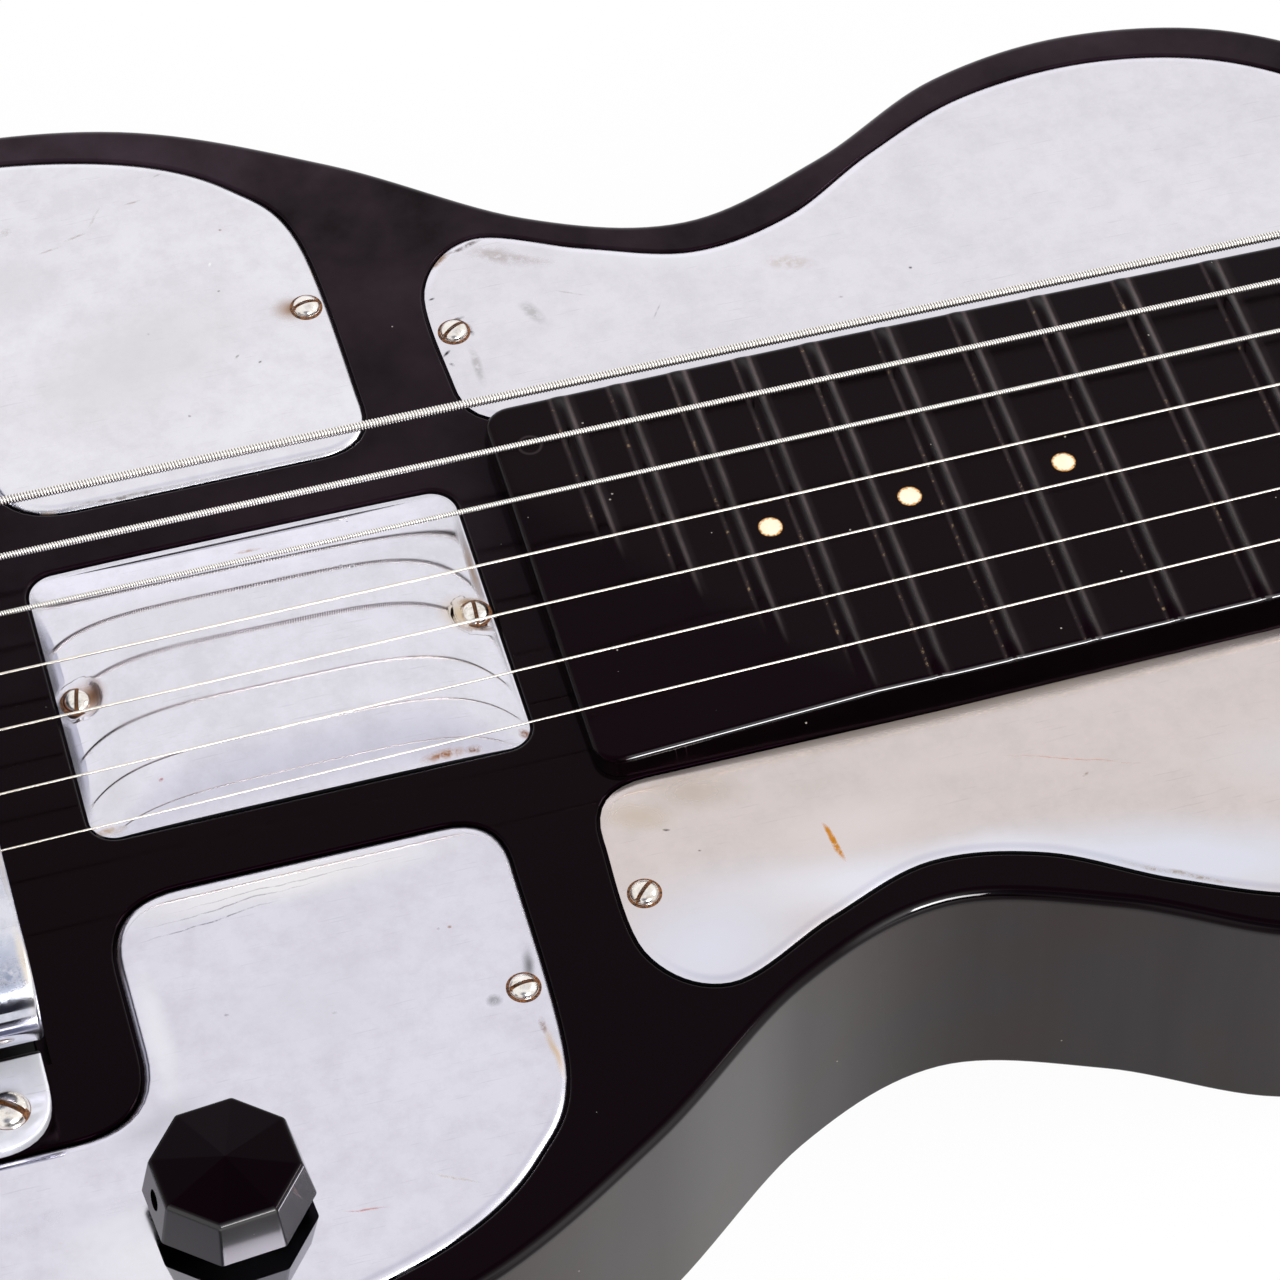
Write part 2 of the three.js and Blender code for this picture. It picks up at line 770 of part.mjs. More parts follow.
function fretBar(x) {
  const half = fretWidth / 2;
  const sunk = boardTop - neckEdgeChamfer / 2;
  const ridge = polygon([
    [x - half, sunk],
    [x + half, sunk],
    [x + half, boardTop],
    [x + half * 0.45, boardTop + fretHeight],
    [x - half * 0.45, boardTop + fretHeight],
    [x - half, boardTop],
  ]);
  const w = neckHalfWidth(x) - neckEdgeChamfer;
  return alongY(ridge, -w, w);
}

function headOutline() {
  const x0 = scaleLength;
  const x1 = scaleLength + headLength;
  const w0 = neckHalfWidthAtNut;
  const w1 = headHalfWidth;
  const shape = new THREE.Shape();
  const swell = headCorner;
  shape.moveTo(x0, -w0);
  shape.lineTo(x0, w0);
  shape.bezierCurveTo(x0 + swell / 2, w0, x0 + swell / 2, w1, x0 + swell, w1);
  shape.lineTo(x1 - headCorner, w1);
  shape.quadraticCurveTo(x1, w1, x1, w1 - headCorner);
  shape.lineTo(x1, headCorner - w1);
  shape.quadraticCurveTo(x1, -w1, x1 - headCorner, -w1);
  shape.lineTo(x0 + swell, -w1);
  shape.bezierCurveTo(x0 + swell / 2, -w1, x0 + swell / 2, -w0, x0, -w0);
  return shape;
}

function nutBar() {
  const top = stringHeight(scaleLength) + nutCrown;
  const half = nutThickness / 2;
  const rise = top - headTop;
  const profile = polygon([
    [scaleLength - half - boardThickness, headTop],
    [scaleLength + half + rise, headTop],
    [scaleLength + half, top],
    [scaleLength - half, top],
    [scaleLength - half - nutThickness, boardTop],
    [scaleLength - half - boardThickness, boardTop - seatGap],
  ]);
  const w = neckHalfWidthAtNut - neckEdgeChamfer;
  return alongY(profile, -w, w);
}

// The plane that eases the treble corner of the board away under the player's hand
function handRelief() {
  const corner = new THREE.Vector3(neckStart, -neckHalfWidthAtStart, boardTop - handReliefDrop);
  const bassEnd = new THREE.Vector3(neckStart, handReliefBassReach - neckHalfWidthAtStart, boardTop);
  const neckEnd = new THREE.Vector3(neckStart + handReliefNeckReach, -neckHalfWidthAtStart, boardTop);
  const along = neckEnd.clone().sub(bassEnd).normalize();
  const normal = along.clone().cross(bassEnd.clone().sub(corner)).normalize();
  if (normal.z < 0) normal.negate();
  const across = normal.clone().cross(along);
  const size = handReliefBassReach * 4;
  const block = new THREE.BoxGeometry(size, size, size);
  block.translate(0, 0, size / 2);
  block.applyMatrix4(new THREE.Matrix4().makeBasis(along, across, normal));
  const middle = bassEnd.clone().lerp(neckEnd, 0.5);
  block.translate(middle.x, middle.y, middle.z);
  const reach = neckStart + handReliefNeckReach + fretWidth;
  const bassY = handReliefBassReach - neckHalfWidthAtStart;
  const limits = box(0, reach, -bodyHalfWidth, bassY, bodyDepth, boardTop + bodyDepth);
  return toGeometry(toSolid(block).intersect(toSolid(limits)));
}

function neckPiece() {
  const frontX = bodyFrontLength + fitGap;
  const pieces = [
    boardPiece(neckStart, bodyFrontLength),
    neckShaft(frontX, scaleLength),
    box(bodyFrontLength - tenonLength, frontX + neckOverlap, -tenonHalfWidth, tenonHalfWidth,
      boardTop - neckDepth, boardTop - neckEdgeChamfer),
    slab(headOutline(), headBottom, headTop),
    nutBar(),
  ];
  const overlapEnd = frontX + neckOverlap;
  const overlapHalf = neckHalfWidth(overlapEnd);
  pieces.push(box(bodyFrontLength - neckOverlap, overlapEnd, -overlapHalf, overlapHalf,
    bodyDepth + seatGap, boardTop - neckEdgeChamfer));
  for (let fret = 1; fret <= fretCount; fret += 1) {
    pieces.push(fretBar(fretPlace(fret)));
  }
  const tools = [handRelief()];
  const grooveEnd = scaleLength + boardThickness + headDrop;
  for (let i = 0; i < stringRadii.length; i += 1) {
    tools.push(stringGroove(i, scaleLength, scaleLength - neckDepth, grooveEnd, nutGrooveGap));
    const { rank, side } = tunerFor(i);
    const postX = scaleLength + tunerPlaces[rank];
    tools.push(rod(postRadius + fitGap, postX, side * tunerOffset, 0, boardTop, 10));
  }
  tools.push(rod(boltRadius + stringGap, boltPlace, 0, 0, boardTop - neckDepth + boltBite, 12));
  return cut(join(pieces), tools);
}

function neckBoltPiece() {
  const shankTop = boardTop - neckDepth + boltBite - fitGap;
  const headFloor = boltRecess - boltHeadHeight - seatGap;
  const headCeiling = boltRecess - seatGap;
  const bolt = turned([
    [0, headFloor],
    [boltHeadRadius * 0.8, headFloor],
    [boltHeadRadius, headFloor + boltHeadHeight * 0.35],
    [boltHeadRadius, headCeiling],
    [boltRadius, headCeiling],
    [boltRadius, shankTop],
    [0, shankTop],
  ]).translate(boltPlace, 0, 0);
  const half = boltSlotWidth / 2;
  return cut(bolt, [
    box(boltPlace - boltHeadRadius * 2, boltPlace + boltHeadRadius * 2, -half, half,
      -overrun, headFloor + boltSlotWidth),
  ]);
}

// Cover plates and their screws

// The centre plate's crown: shares of its half width in from the edge, and of the crown's height
const crownShares = [[0.07, 0.27], [0.19, 0.57], [0.38, 0.83], [0.64, 0.97]];

// The centre plate's outline drawn in towards its middle by one distance on every side
function drawnIn(points, distance) {
  const middle = (centrePlateStart + centrePlateEnd) / 2;
  const alongShare = 1 - distance / (middle - centrePlateStart);
  const acrossShare = 1 - distance / centrePlateHalfWidth;
  return points.map((p) => {
    const x = middle + (p.x - middle) * alongShare;
    return new THREE.Vector2(x, p.y * acrossShare);
  });
}

function plateLevels(name) {
  const points = plateOutlines[name];
  if (name !== 'plate_centre') {
    return [
      [points, plateBottom],
      [points, plateTop - plateEdgeDrop],
      [inset(points, plateEdgeRoll * 0.35), plateTop - plateEdgeDrop * 0.3],
      [inset(points, plateEdgeRoll), plateTop],
    ];
  }
  const rim = plateBottom + centrePlateRim;
  const levels = crownShares.map(([insetShare, riseShare]) => [
    drawnIn(points, insetShare * centrePlateHalfWidth),
    rim + riseShare * centrePlateCrown,
  ]);
  return [[points, plateBottom], [points, rim], ...levels];
}

function platePiece(name) {
  const plate = stack(plateLevels(name));
  const holes = [];
  if (name === 'plate_centre') {
    const seat = plateTop + centreDimpleRise;
    for (const [, x, y] of plateScrews.slice(-2)) {
      holes.push(rod(centreDimpleRadius, x, y, seat, plateTop + centrePlateCrown + overrun, 14));
    }
  }
  for (const [, x, y] of plateScrews) {
    holes.push(rod(screwShankRadius + stringGap, x, y, plateBottom - overrun, plateTop + overrun, 8));
  }
  if (name === 'plate_lower_treble') {
    holes.push(rod(bushingRadius + fitGap, ...knobPlace, 0, plateTop + overrun));
    holes.push(rod(jackNeckRadius + fitGap, ...jackPlace, 0, plateTop + overrun));
  }
  return cut(plate, holes);
}

function slottedScrew(headRadius, headHeight, shankRadius, length, slotWidth, slotDepth, turn) {
  const screw = turned([
    [0, -length],
    [shankRadius, shankRadius - length],
    [shankRadius, 0],
    [headRadius, 0],
    [headRadius, headHeight * 0.3],
    [headRadius * 0.8, headHeight * 0.75],
    [headRadius * 0.42, headHeight * 0.96],
    [0, headHeight],
  ], 10);
  const slot = box(-headRadius * 2, headRadius * 2, -slotWidth / 2, slotWidth / 2,
    headHeight - slotDepth, headHeight + overrun);
  return cut(screw, [slot.rotateZ(turn)]);
}

function plateScrewPiece(name, x, y, turn) {
  const screw = slottedScrew(screwHeadRadius, screwHeadHeight, screwShankRadius, screwLength,
    screwSlotWidth, screwSlotDepth, turn);
  const seat = name.startsWith('screw_centre') ? plateTop + centreDimpleRise : plateTop;
  return screw.translate(x, y, seat + seatGap);
}

// Pickup

function magnetPiece(side) {
  const bottom = bodyDepth + magnetRise;
  const centreZ = bottom + magnetBendRadius;
  const top = centreZ + magnetBendRadius;
  const innerRadius = magnetBendRadius - magnetThickness;
  const joint = fitGap / 2;
  const shape = new THREE.Shape();
  shape.moveTo(joint, top);
  shape.lineTo(joint, top - magnetThickness);
  shape.lineTo(magnetBendCentre, top - magnetThickness);
  shape.absarc(magnetBendCentre, centreZ, innerRadius, Math.PI / 2, -Math.PI / 2, true);
  shape.lineTo(magnetLowerLegEnd, bottom + magnetThickness);
  shape.lineTo(magnetLowerLegEnd, bottom);
  shape.lineTo(magnetBendCentre, bottom);
  shape.absarc(magnetBendCentre, centreZ, magnetBendRadius, -Math.PI / 2, Math.PI / 2, false);
  const points = outlinePoints(shape, magnetBendSteps);
  const section = new THREE.Shape(side > 0 ? points : mirroredAcross(points));
  return alongX(section, pickupCentre - magnetHalfLength, pickupCentre + magnetHalfLength);
}

function mirroredAcross(points) {
  return points.map((p) => new THREE.Vector2(-p.x, p.y)).reverse();
}

function lugShape(side) {
  const x0 = pickupCentre - lugHalfLength;
  const x1 = pickupCentre + lugHalfLength;
  const shape = new THREE.Shape();
  shape.moveTo(x0, side * lugInnerEdge);
  shape.lineTo(x1, side * lugInnerEdge);
  shape.lineTo(x1, side * (lugOuterEdge - lugCorner));
  shape.quadraticCurveTo(x1, side * lugOuterEdge, x1 - lugCorner, side * lugOuterEdge);
  shape.lineTo(x0 + lugCorner, side * lugOuterEdge);
  shape.quadraticCurveTo(x0, side * lugOuterEdge, x0, side * (lugOuterEdge - lugCorner));
  return shape;
}

function cradlePiece() {
  const x0 = pickupCentre - lugHalfLength;
  const x1 = pickupCentre + lugHalfLength;
  const lugBottom = bodyDepth + seatGap;
  const lugTop = lugBottom + strapThickness;
  const floorBottom = bodyDepth - wellDepth + seatGap;
  const floorTop = floorBottom + strapThickness;
  const legBottom = bodyDepth + magnetRise - seatGap;
  const pieces = [box(x0, x1, -lugInnerEdge, lugInnerEdge, floorBottom, floorTop)];
  const padStart = magnetLowerLegEnd + seatGap;
  const tools = [];
  for (const side of [1, -1]) {
    pieces.push(slab(lugShape(side), lugBottom, lugTop, 6));
    const webOuter = side * lugInnerEdge;
    const webInner = side * (lugInnerEdge - strapThickness);
    const webY = [webInner, webOuter].sort((a, b) => a - b);
    pieces.push(box(x0, x1, ...webY, floorBottom, lugTop));
    const padY = [side * padStart, side * (padStart + padWidth)].sort((a, b) => a - b);
    pieces.push(box(x0 + padInset, x1 - padInset, ...padY, floorBottom, legBottom));
  }
  for (const [, x, y] of pickupScrewPlaces()) {
    tools.push(rod(pickupScrewShankRadius + stringGap, x, y, bodyDepth - overrun, lugTop + overrun, 10));
  }
  tools.push(rod(leadChannel, leadExitX, leadExitY, floorBottom - overrun, floorTop + overrun, 8));
  return cut(join(pieces), tools);
}

function pickupScrewPlaces() {
  const places = [];
  for (const [side, sign] of [['bass', 1], ['treble', -1]]) {
    places.push([`pickup_screw_${side}_1`, pickupCentre - pickupScrewSpread, sign * pickupScrewPlace]);
    places.push([`pickup_screw_${side}_2`, pickupCentre + pickupScrewSpread, sign * pickupScrewPlace]);
  }
  return places;
}

function pickupScrewPiece(x, y, turn) {
  const lugTop = bodyDepth + seatGap + strapThickness;
  const screw = slottedScrew(pickupScrewHeadRadius, pickupScrewHeadHeight, pickupScrewShankRadius,
    pickupScrewLength, pickupScrewSlotWidth, screwSlotDepth, turn);
  return screw.translate(x, y, lugTop + seatGap);
}

const bobbinBottom = bodyDepth - wellDepth + seatGap + strapThickness + seatGap;
const combHalfWidth = poleRadius + fitGap;
const coreHalfWidth = combHalfWidth + fitGap + bobbinCoreWall;
const combHalfLength = stringSpreadAtSaddle + poleRadius + fitGap;
const coreHalfLength = combHalfLength + fitGap;

function bobbinPiece() {
  const top = bobbinBottom + bobbinHeight;
  const length = Math.max(bobbinHalfLength, coreHalfLength + bobbinCoreWall);
  const x = pickupCentre;
  const slotHalf = combHalfWidth + fitGap;
  const x0 = x - bobbinHalfWidth;
  const x1 = x + bobbinHalfWidth;
  const pieces = [
    box(x0, x1, -length, length, bobbinBottom, bobbinBottom + bobbinFlange),
    box(x0, x1, -length, length, top - bobbinFlange, top),
    box(x - coreHalfWidth, x + coreHalfWidth, -coreHalfLength - bobbinCoreWall / 2,
      coreHalfLength + bobbinCoreWall / 2, bobbinBottom, top),
  ];
  return cut(join(pieces), [
    box(x - slotHalf, x + slotHalf, -coreHalfLength, coreHalfLength, bobbinBottom - overrun, top + overrun),
  ]);
}

function coilPiece() {
  const bottom = bobbinBottom + bobbinFlange + seatGap;
  const top = bobbinBottom + bobbinHeight - bobbinFlange - seatGap;
  const innerX = coreHalfWidth + fitGap;
  const innerY = coreHalfLength + bobbinCoreWall / 2 + seatGap;
  const outerX = Math.min(innerX + coilThickness, bobbinHalfWidth);
  const outerY = innerY + bobbinCoreWall / 2;
  const x = pickupCentre;
  return cut(box(x - outerX, x + outerX, -outerY, outerY, bottom, top), [
    box(x - innerX, x + innerX, -innerY, innerY, bottom - overrun, top + overrun),
  ]);
}

function poleCombPiece() {
  const x = pickupCentre;
  const thickest = Math.max(...stringRadii);
  const top = stringHeight(x) - thickest - poleTopGap;
  const barTop = bobbinBottom + combBarHeight;
  const half = combHalfLength;
  const pieces = [box(x - combHalfWidth, x + combHalfWidth, -half, half, bobbinBottom, barTop)];
  for (let i = 0; i < stringRadii.length; i += 1) {
    const share = x / scaleLength;
    const atSaddle = saddlePlaceShares[i] * stringSpreadAtSaddle;
    const atNut = nutPlaceShares[i] * stringSpreadAtNut;
    pieces.push(rod(poleRadius, x, atSaddle + (atNut - atSaddle) * share, barTop - seatGap, top, 8));
  }
  return join(pieces);
}

// Bridge

function bridgePiece() {
  const crest = bodyDepth + stringHeightAtSaddle + bridgeCrown;
  const foot = bodyDepth + seatGap;
  const profile = polygon([
    [-bridgeBack, foot],
    [bridgeFront, foot],
    [bridgeFront, foot + bridgeFoot],
    [bridgeCrestHalfWidth, crest],
    [-bridgeCrestHalfWidth, crest],
    [-bridgeBack, foot + bridgeFoot],
  ]);
  const tools = [];
  for (let i = 0; i < stringRadii.length; i += 1) {
    tools.push(stringGroove(i, 0, -bridgeBack - bridgeFoot, bridgeFront * 2, stringGap));
  }
  return cut(alongY(profile, -bridgeHalfWidth, bridgeHalfWidth), tools);
}

// Volume control

const knobBottom = plateTop + knobGap;

function knobRing(radius) {
  const points = [];
  for (let i = 0; i < knobSides; i += 1) {
    const angle = knobTurn + (i / knobSides) * Math.PI * 2;
    points.push(new THREE.Vector2(radius * Math.cos(angle), radius * Math.sin(angle)));
  }
  return points;
}

function knobPiece() {
  const rim = knobBottom + knobHeight;
  const knob = stack([
    [knobRing(knobBottomRadius), knobBottom],
    [knobRing(knobTopRadius), rim - knobChamfer],
    [knobRing(knobTopRadius - knobChamfer), rim],
    [knobRing(knobChamfer / 4), rim + knobPeak],
  ]);
  const bore = rod(shaftRadius + stringGap, 0, 0, knobBottom - overrun, knobBottom + shaftBite + seatGap);
  const screwHole = new THREE.CylinderGeometry(setScrewHoleRadius, setScrewHoleRadius, knobBottomRadius, 8);
  screwHole.rotateZ(Math.PI / 2);
  screwHole.translate(knobBottomRadius, 0, knobBottom + knobHeight / 2);
  screwHole.rotateZ(knobTurn + (setScrewFacet + 0.5) * (Math.PI * 2 / knobSides));
  return cut(knob, [bore, screwHole]).translate(...knobPlace, 0);
}

function shaftPiece() {
  const potTop = plateSeat - fitGap;
  return rod(shaftRadius, ...knobPlace, potTop - potHeight / 2, knobBottom + shaftBite);
}

function potPiece() {
  const potTop = plateSeat - fitGap;
  const can = rod(potRadius, 0, 0, potTop - potHeight, potTop, 20);
  const bushing = rod(bushingRadius, 0, 0, potTop - bushingRise, plateTop + bushingRise);
  const bore = rod(shaftRadius + stringGap, 0, 0, potTop - potHeight / 2 - fitGap, plateTop + overrun);
  return cut(join([can, bushing]), [bore]).translate(...knobPlace, 0);
}

// Output jack, and the leads between coil, volume control and jack

function jackPiece() {
  const neckTop = plateTop + jackNeckRise;
  const barrelTop = plateSeat - fitGap;
  const jack = turned([
    [0, barrelTop - jackDepth],
    [jackRadius, barrelTop - jackDepth],
    [jackRadius, barrelTop],
    [jackNeckRadius, barrelTop],
    [jackNeckRadius, neckTop],
    [0, neckTop],
  ], 16);
  const bore = rod(jackBore, 0, 0, barrelTop - jackDepth + strapThickness, neckTop + overrun, 16);
  return cut(jack, [bore]).translate(...jackPlace, 0);
}

const leadChannel = leadRadius + fitGap * 2;
const leadHeight = plateSeat - fitGap - jackDepth - leadDrop;
const leadSpacing = leadRadius * 1.5;
const leadExitX = pickupCentre + coreHalfWidth + coilThickness / 2;
const leadExitY = -stringSpreadAtSaddle;

function controlPockets() {
  const z0 = bodyFloor;
  const z1 = plateSeat + seatGap;
  const half = controlPocketHalfWidth;
  const [knobX, knobY] = knobPlace;
  const [jackX, jackY] = jackPlace;
  const low = leadHeight - leadChannel;
  const high = leadHeight + leadChannel;
  const pairHalf = leadSpacing + leadChannel;
  return [
    rod(half, knobX, knobY, z0, z1, 20),
    rod(jackRadius + fitGap * 2, jackX, jackY, z0, z1, 20),
    box(jackX, knobX, jackY - pairHalf, jackY + pairHalf, low, high),
    box(leadExitX - leadChannel, leadExitX + leadChannel, jackY, leadExitY + leadChannel, low, high),
    rod(leadChannel, leadExitX, leadExitY, leadHeight, bodyDepth - wellDepth + overrun, 8),
  ];
}

function jackLeadPiece() {
  const [jackX, jackY] = jackPlace;
  const y = jackY - leadSpacing;
  const x1 = knobPlace[0] - potRadius / 2;
  const start = new THREE.Vector3(jackX, y, plateSeat - fitGap - jackDepth - fitGap);
  const down = new THREE.Vector3(jackX, y, leadHeight);
  const across = new THREE.Vector3(x1, y, leadHeight);
  const end = new THREE.Vector3(x1, y, plateSeat - potHeight - fitGap * 2);
  const bend = leadRadius * 2;
  return sweep([
    start,
    ...rounded(start, down, across, bend),
    ...rounded(down, across, end, bend),
    end,
  ], leadRadius, leadSides);
}

// The coil's lead, from under the bobbin down through the well floor and across to the volume control
function pickupLeadPiece() {
  const y = jackPlace[1] + leadSpacing;
  const x1 = knobPlace[0] - potRadius / 2;
  const start = new THREE.Vector3(leadExitX, leadExitY, bobbinBottom - seatGap);
  const down = new THREE.Vector3(leadExitX, leadExitY, leadHeight);
  const corner = new THREE.Vector3(leadExitX, y, leadHeight);
  const across = new THREE.Vector3(x1, y, leadHeight);
  const end = new THREE.Vector3(x1, y, plateSeat - potHeight - fitGap * 2);
  const bend = leadRadius * 2;
  return sweep([
    start,
    ...rounded(start, down, corner, bend),
    ...rounded(down, corner, across, bend),
    ...rounded(corner, across, end, bend),
    end,
  ], leadRadius, leadSides);
}

// Tuners

const wormZ = headBottom - seatGap - tunerPlateThickness - fitGap - Math.max(wormRadius, gearThickness / 2);
const gearTop = wormZ + gearThickness / 2;
const wormOffset = gearRadius + wormRadius + fitGap;

function postPiece(rank, side) {
  const x = scaleLength + tunerPlaces[rank];
  const y = side * tunerOffset;
  const toothShape = new THREE.Shape();
  const steps = gearTeeth * 2;
  for (let i = 0; i < steps; i += 1) {
    const radius = i % 2 ? gearRadius : gearRadius - gearToothDepth;
    const angle = (i / steps) * Math.PI * 2;
    const place = [radius * Math.cos(angle), radius * Math.sin(angle)];
    if (i === 0) toothShape.moveTo(...place);
    else toothShape.lineTo(...place);
  }
  const gear = slab(toothShape, gearTop - gearThickness, gearTop);
  const post = rod(postRadius, 0, 0, gearTop - seatGap, headTop + postRise, 10);
  return join([gear, post]).translate(x, y, 0);
}

function buttonPiece(rank, side) {
  const inner = tunerOffset - tunerPlateHalfWidth;
  const buttonStart = headHalfWidth + buttonGap;
  const middle = buttonThickness * 0.5;
  const shaft = turned([
    [0, inner],
    [wormShaftRadius, inner],
    [wormShaftRadius, tunerOffset - wormLength / 2],
    [wormRadius, tunerOffset - wormLength / 2],
    [wormRadius, tunerOffset + wormLength / 2],
    [wormShaftRadius, tunerOffset + wormLength / 2],
    [wormShaftRadius, buttonStart + buttonLength / 2],
    [0, buttonStart + buttonLength / 2],
  ], 8);
  const blade = new THREE.Shape();
  const bladeY = buttonStart + buttonLength / 2;
  blade.absellipse(0, bladeY, buttonRadius, buttonLength / 2, 0, Math.PI * 2, false, 0);
  const button = new THREE.ExtrudeGeometry(blade, {
    depth: buttonThickness - middle,
    bevelEnabled: true,
    bevelThickness: middle / 2,
    bevelSize: middle / 2,
    bevelOffset: -middle / 2,
    bevelSegments: 1,
    curveSegments: 8,
  });
  button.translate(0, 0, (middle - buttonThickness) / 2);
  const place = new THREE.Matrix4().makeRotationX(-Math.PI / 2);
  const piece = join([shaft.applyMatrix4(place), button]);
  if (side < 0) piece.rotateZ(Math.PI);
  return piece.translate(scaleLength + tunerPlaces[rank] + wormOffset, 0, wormZ);
}

function tunerPlatePiece(side, count) {
  const top = headBottom - seatGap;
  const bottom = top - tunerPlateThickness;
  const plateStart = scaleLength + tunerPlaces[0] - tunerPlateEnd;
  const plateEnd = scaleLength + tunerPlaces[count - 1] + wormOffset + tunerPlateEnd / 2;
  const y = side * tunerOffset;
  const half = tunerPlateHalfWidth;
  const pieces = [slab(roundedBox(plateStart, plateEnd, y - half, y + half, half / 2), bottom, top, 2)];
  const tools = [];
  const earDepth = wormZ - wormShaftRadius - strapThickness;
  for (let rank = 0; rank < count; rank += 1) {
    const postX = scaleLength + tunerPlaces[rank];
    const wormX = postX + wormOffset;
    tools.push(rod(postRadius + fitGap, postX, y, bottom - overrun, top + overrun, 10));
    for (const end of [-1, 1]) {
      const thin = earThickness / 2;
      const earY = y + end * (half - thin);
      const x0 = wormX - earHalfWidth;
      pieces.push(box(x0, wormX + earHalfWidth, earY - thin, earY + thin, earDepth, top - seatGap));
    }
    const hole = new THREE.CylinderGeometry(wormShaftRadius + fitGap, wormShaftRadius + fitGap, half * 4, 8);
    tools.push(hole.translate(wormX, y, wormZ));
  }
  return cut(join(pieces), tools);
}

// Assembly

const guitar = new THREE.Group();

function add(name, geometry, material) {
  const mesh = new THREE.Mesh(geometry, material);
  mesh.name = name;
  guitar.add(mesh);
}

add('body', bodyPiece(), mouldedBlack);
add('neck', neckPiece(), mouldedBlack);
add('neck_bolt', neckBoltPiece(), screwMetal);
for (const name of Object.keys(plateOutlines)) {
  add(name, platePiece(name), polishedPlate);
}
plateScrews.forEach(([name, x, y], i) => {
  add(name, plateScrewPiece(name, x, y, slotTurnStart + i * slotTurnStep), screwMetal);
});
add('pickup_cradle', cradlePiece(), polishedPlate);
add('magnet_bass', magnetPiece(1), magnetMetal);
add('magnet_treble', magnetPiece(-1), magnetMetal);
add('pickup_bobbin', bobbinPiece(), fibreBobbin);
add('pickup_coil', coilPiece(), copperCoil);
add('pole_comb', poleCombPiece(), castMetal);
pickupScrewPlaces().forEach(([name, x, y], i) => {
  add(name, pickupScrewPiece(x, y, slotTurnStart - i * slotTurnStep), screwMetal);
});
add('pickup_lead', pickupLeadPiece(), leadCover);
add('bridge', bridgePiece(), mouldedBlack);
add('volume_knob', knobPiece(), mouldedBlack);
add('volume_shaft', shaftPiece(), castMetal);
add('volume_pot', potPiece(), castMetal);
add('output_jack', jackPiece(), castMetal);
add('jack_lead', jackLeadPiece(), leadCover);
stringRadii.forEach((radius, i) => {
  const { rank, side } = tunerFor(i);
  add(`string_${i + 1}`, stringPiece(i), stringMetal);
  add(`tuner_post_${i + 1}`, postPiece(rank, side), castMetal);
  add(`tuner_button_${i + 1}`, buttonPiece(rank, side), buttonPlastic);
});
add('tuner_plate_bass', tunerPlatePiece(1, bassTunerCount), castMetal);
add('tuner_plate_treble', tunerPlatePiece(-1, stringRadii.length - bassTunerCount), castMetal);

export default guitar;
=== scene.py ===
import functools
import math

import bpy
from mathutils import Matrix, Vector


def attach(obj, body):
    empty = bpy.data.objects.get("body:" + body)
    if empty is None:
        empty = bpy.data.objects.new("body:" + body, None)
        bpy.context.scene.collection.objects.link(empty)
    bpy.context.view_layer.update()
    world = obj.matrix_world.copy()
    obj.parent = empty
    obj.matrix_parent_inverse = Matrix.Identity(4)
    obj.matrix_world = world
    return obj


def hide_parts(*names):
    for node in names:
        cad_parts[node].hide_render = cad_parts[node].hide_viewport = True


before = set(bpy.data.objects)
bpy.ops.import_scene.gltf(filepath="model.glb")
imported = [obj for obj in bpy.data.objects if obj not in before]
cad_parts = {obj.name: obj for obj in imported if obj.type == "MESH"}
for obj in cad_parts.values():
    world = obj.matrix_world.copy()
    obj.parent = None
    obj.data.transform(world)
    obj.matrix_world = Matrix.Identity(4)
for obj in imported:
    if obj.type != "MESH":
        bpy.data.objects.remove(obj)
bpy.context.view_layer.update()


# The body. One deep moulding of black phenolic resin, pressed in a steel mould and then buffed.
# Its face has five shallow recesses for the cover plates, a well for the pickup, a slot for the
# neck, and seven holes that the strings pass up through from the back.

MM = 0.001
BODY_TAIL = -58
BODY_FRONT = 308
BODY_HALF_WIDTH = 115
BODY_TOP = 41.5
BODY_EDGE_RADIUS = 1.6
BODY_PROUD = 1.2
BODY_DRAFT = 1
BACK_RADIUS = 0.9
RECESS_FLOOR = 40.2
RECESS_GAP = 0.45
LIP_RADIUS = 0.45
WELL_DEPTH = 8
WELL_X = (14.8, 54)
WELL_Y = 60.2
BOARD_START = 139.57
BOARD_BASE_HALF = 35.3
TENON_START = 199.7
TENON_HALF = 22
TENON_LOW = 22.6
BOLT_X = 262
BOLT_HOLE = 6.3
BOLT_SEAT = 4.4
STRING_HOLE_X = -17
BALL_SEAT = 7.3
SADDLE_Y = [32 * share for share in (1.015, 0.679, 0.343, -0.003, -0.318, -0.676, -0.981)]

BODY_SHARES = [
    (0, 0), (0.013, 0.33), (0.06, 0.626), (0.137, 0.852), (0.235, 0.974), (0.339, 0.998),
    (0.432, 0.954), (0.514, 0.815), (0.587, 0.646), (0.653, 0.578), (0.719, 0.64),
    (0.781, 0.741), (0.847, 0.769), (0.915, 0.715), (0.97, 0.57),
]


def body_point(share):
    """A place on the body's face, from shares of its length and half width."""
    along = BODY_TAIL + share[0] * (BODY_FRONT - BODY_TAIL)
    return (along, share[1] * BODY_HALF_WIDTH)


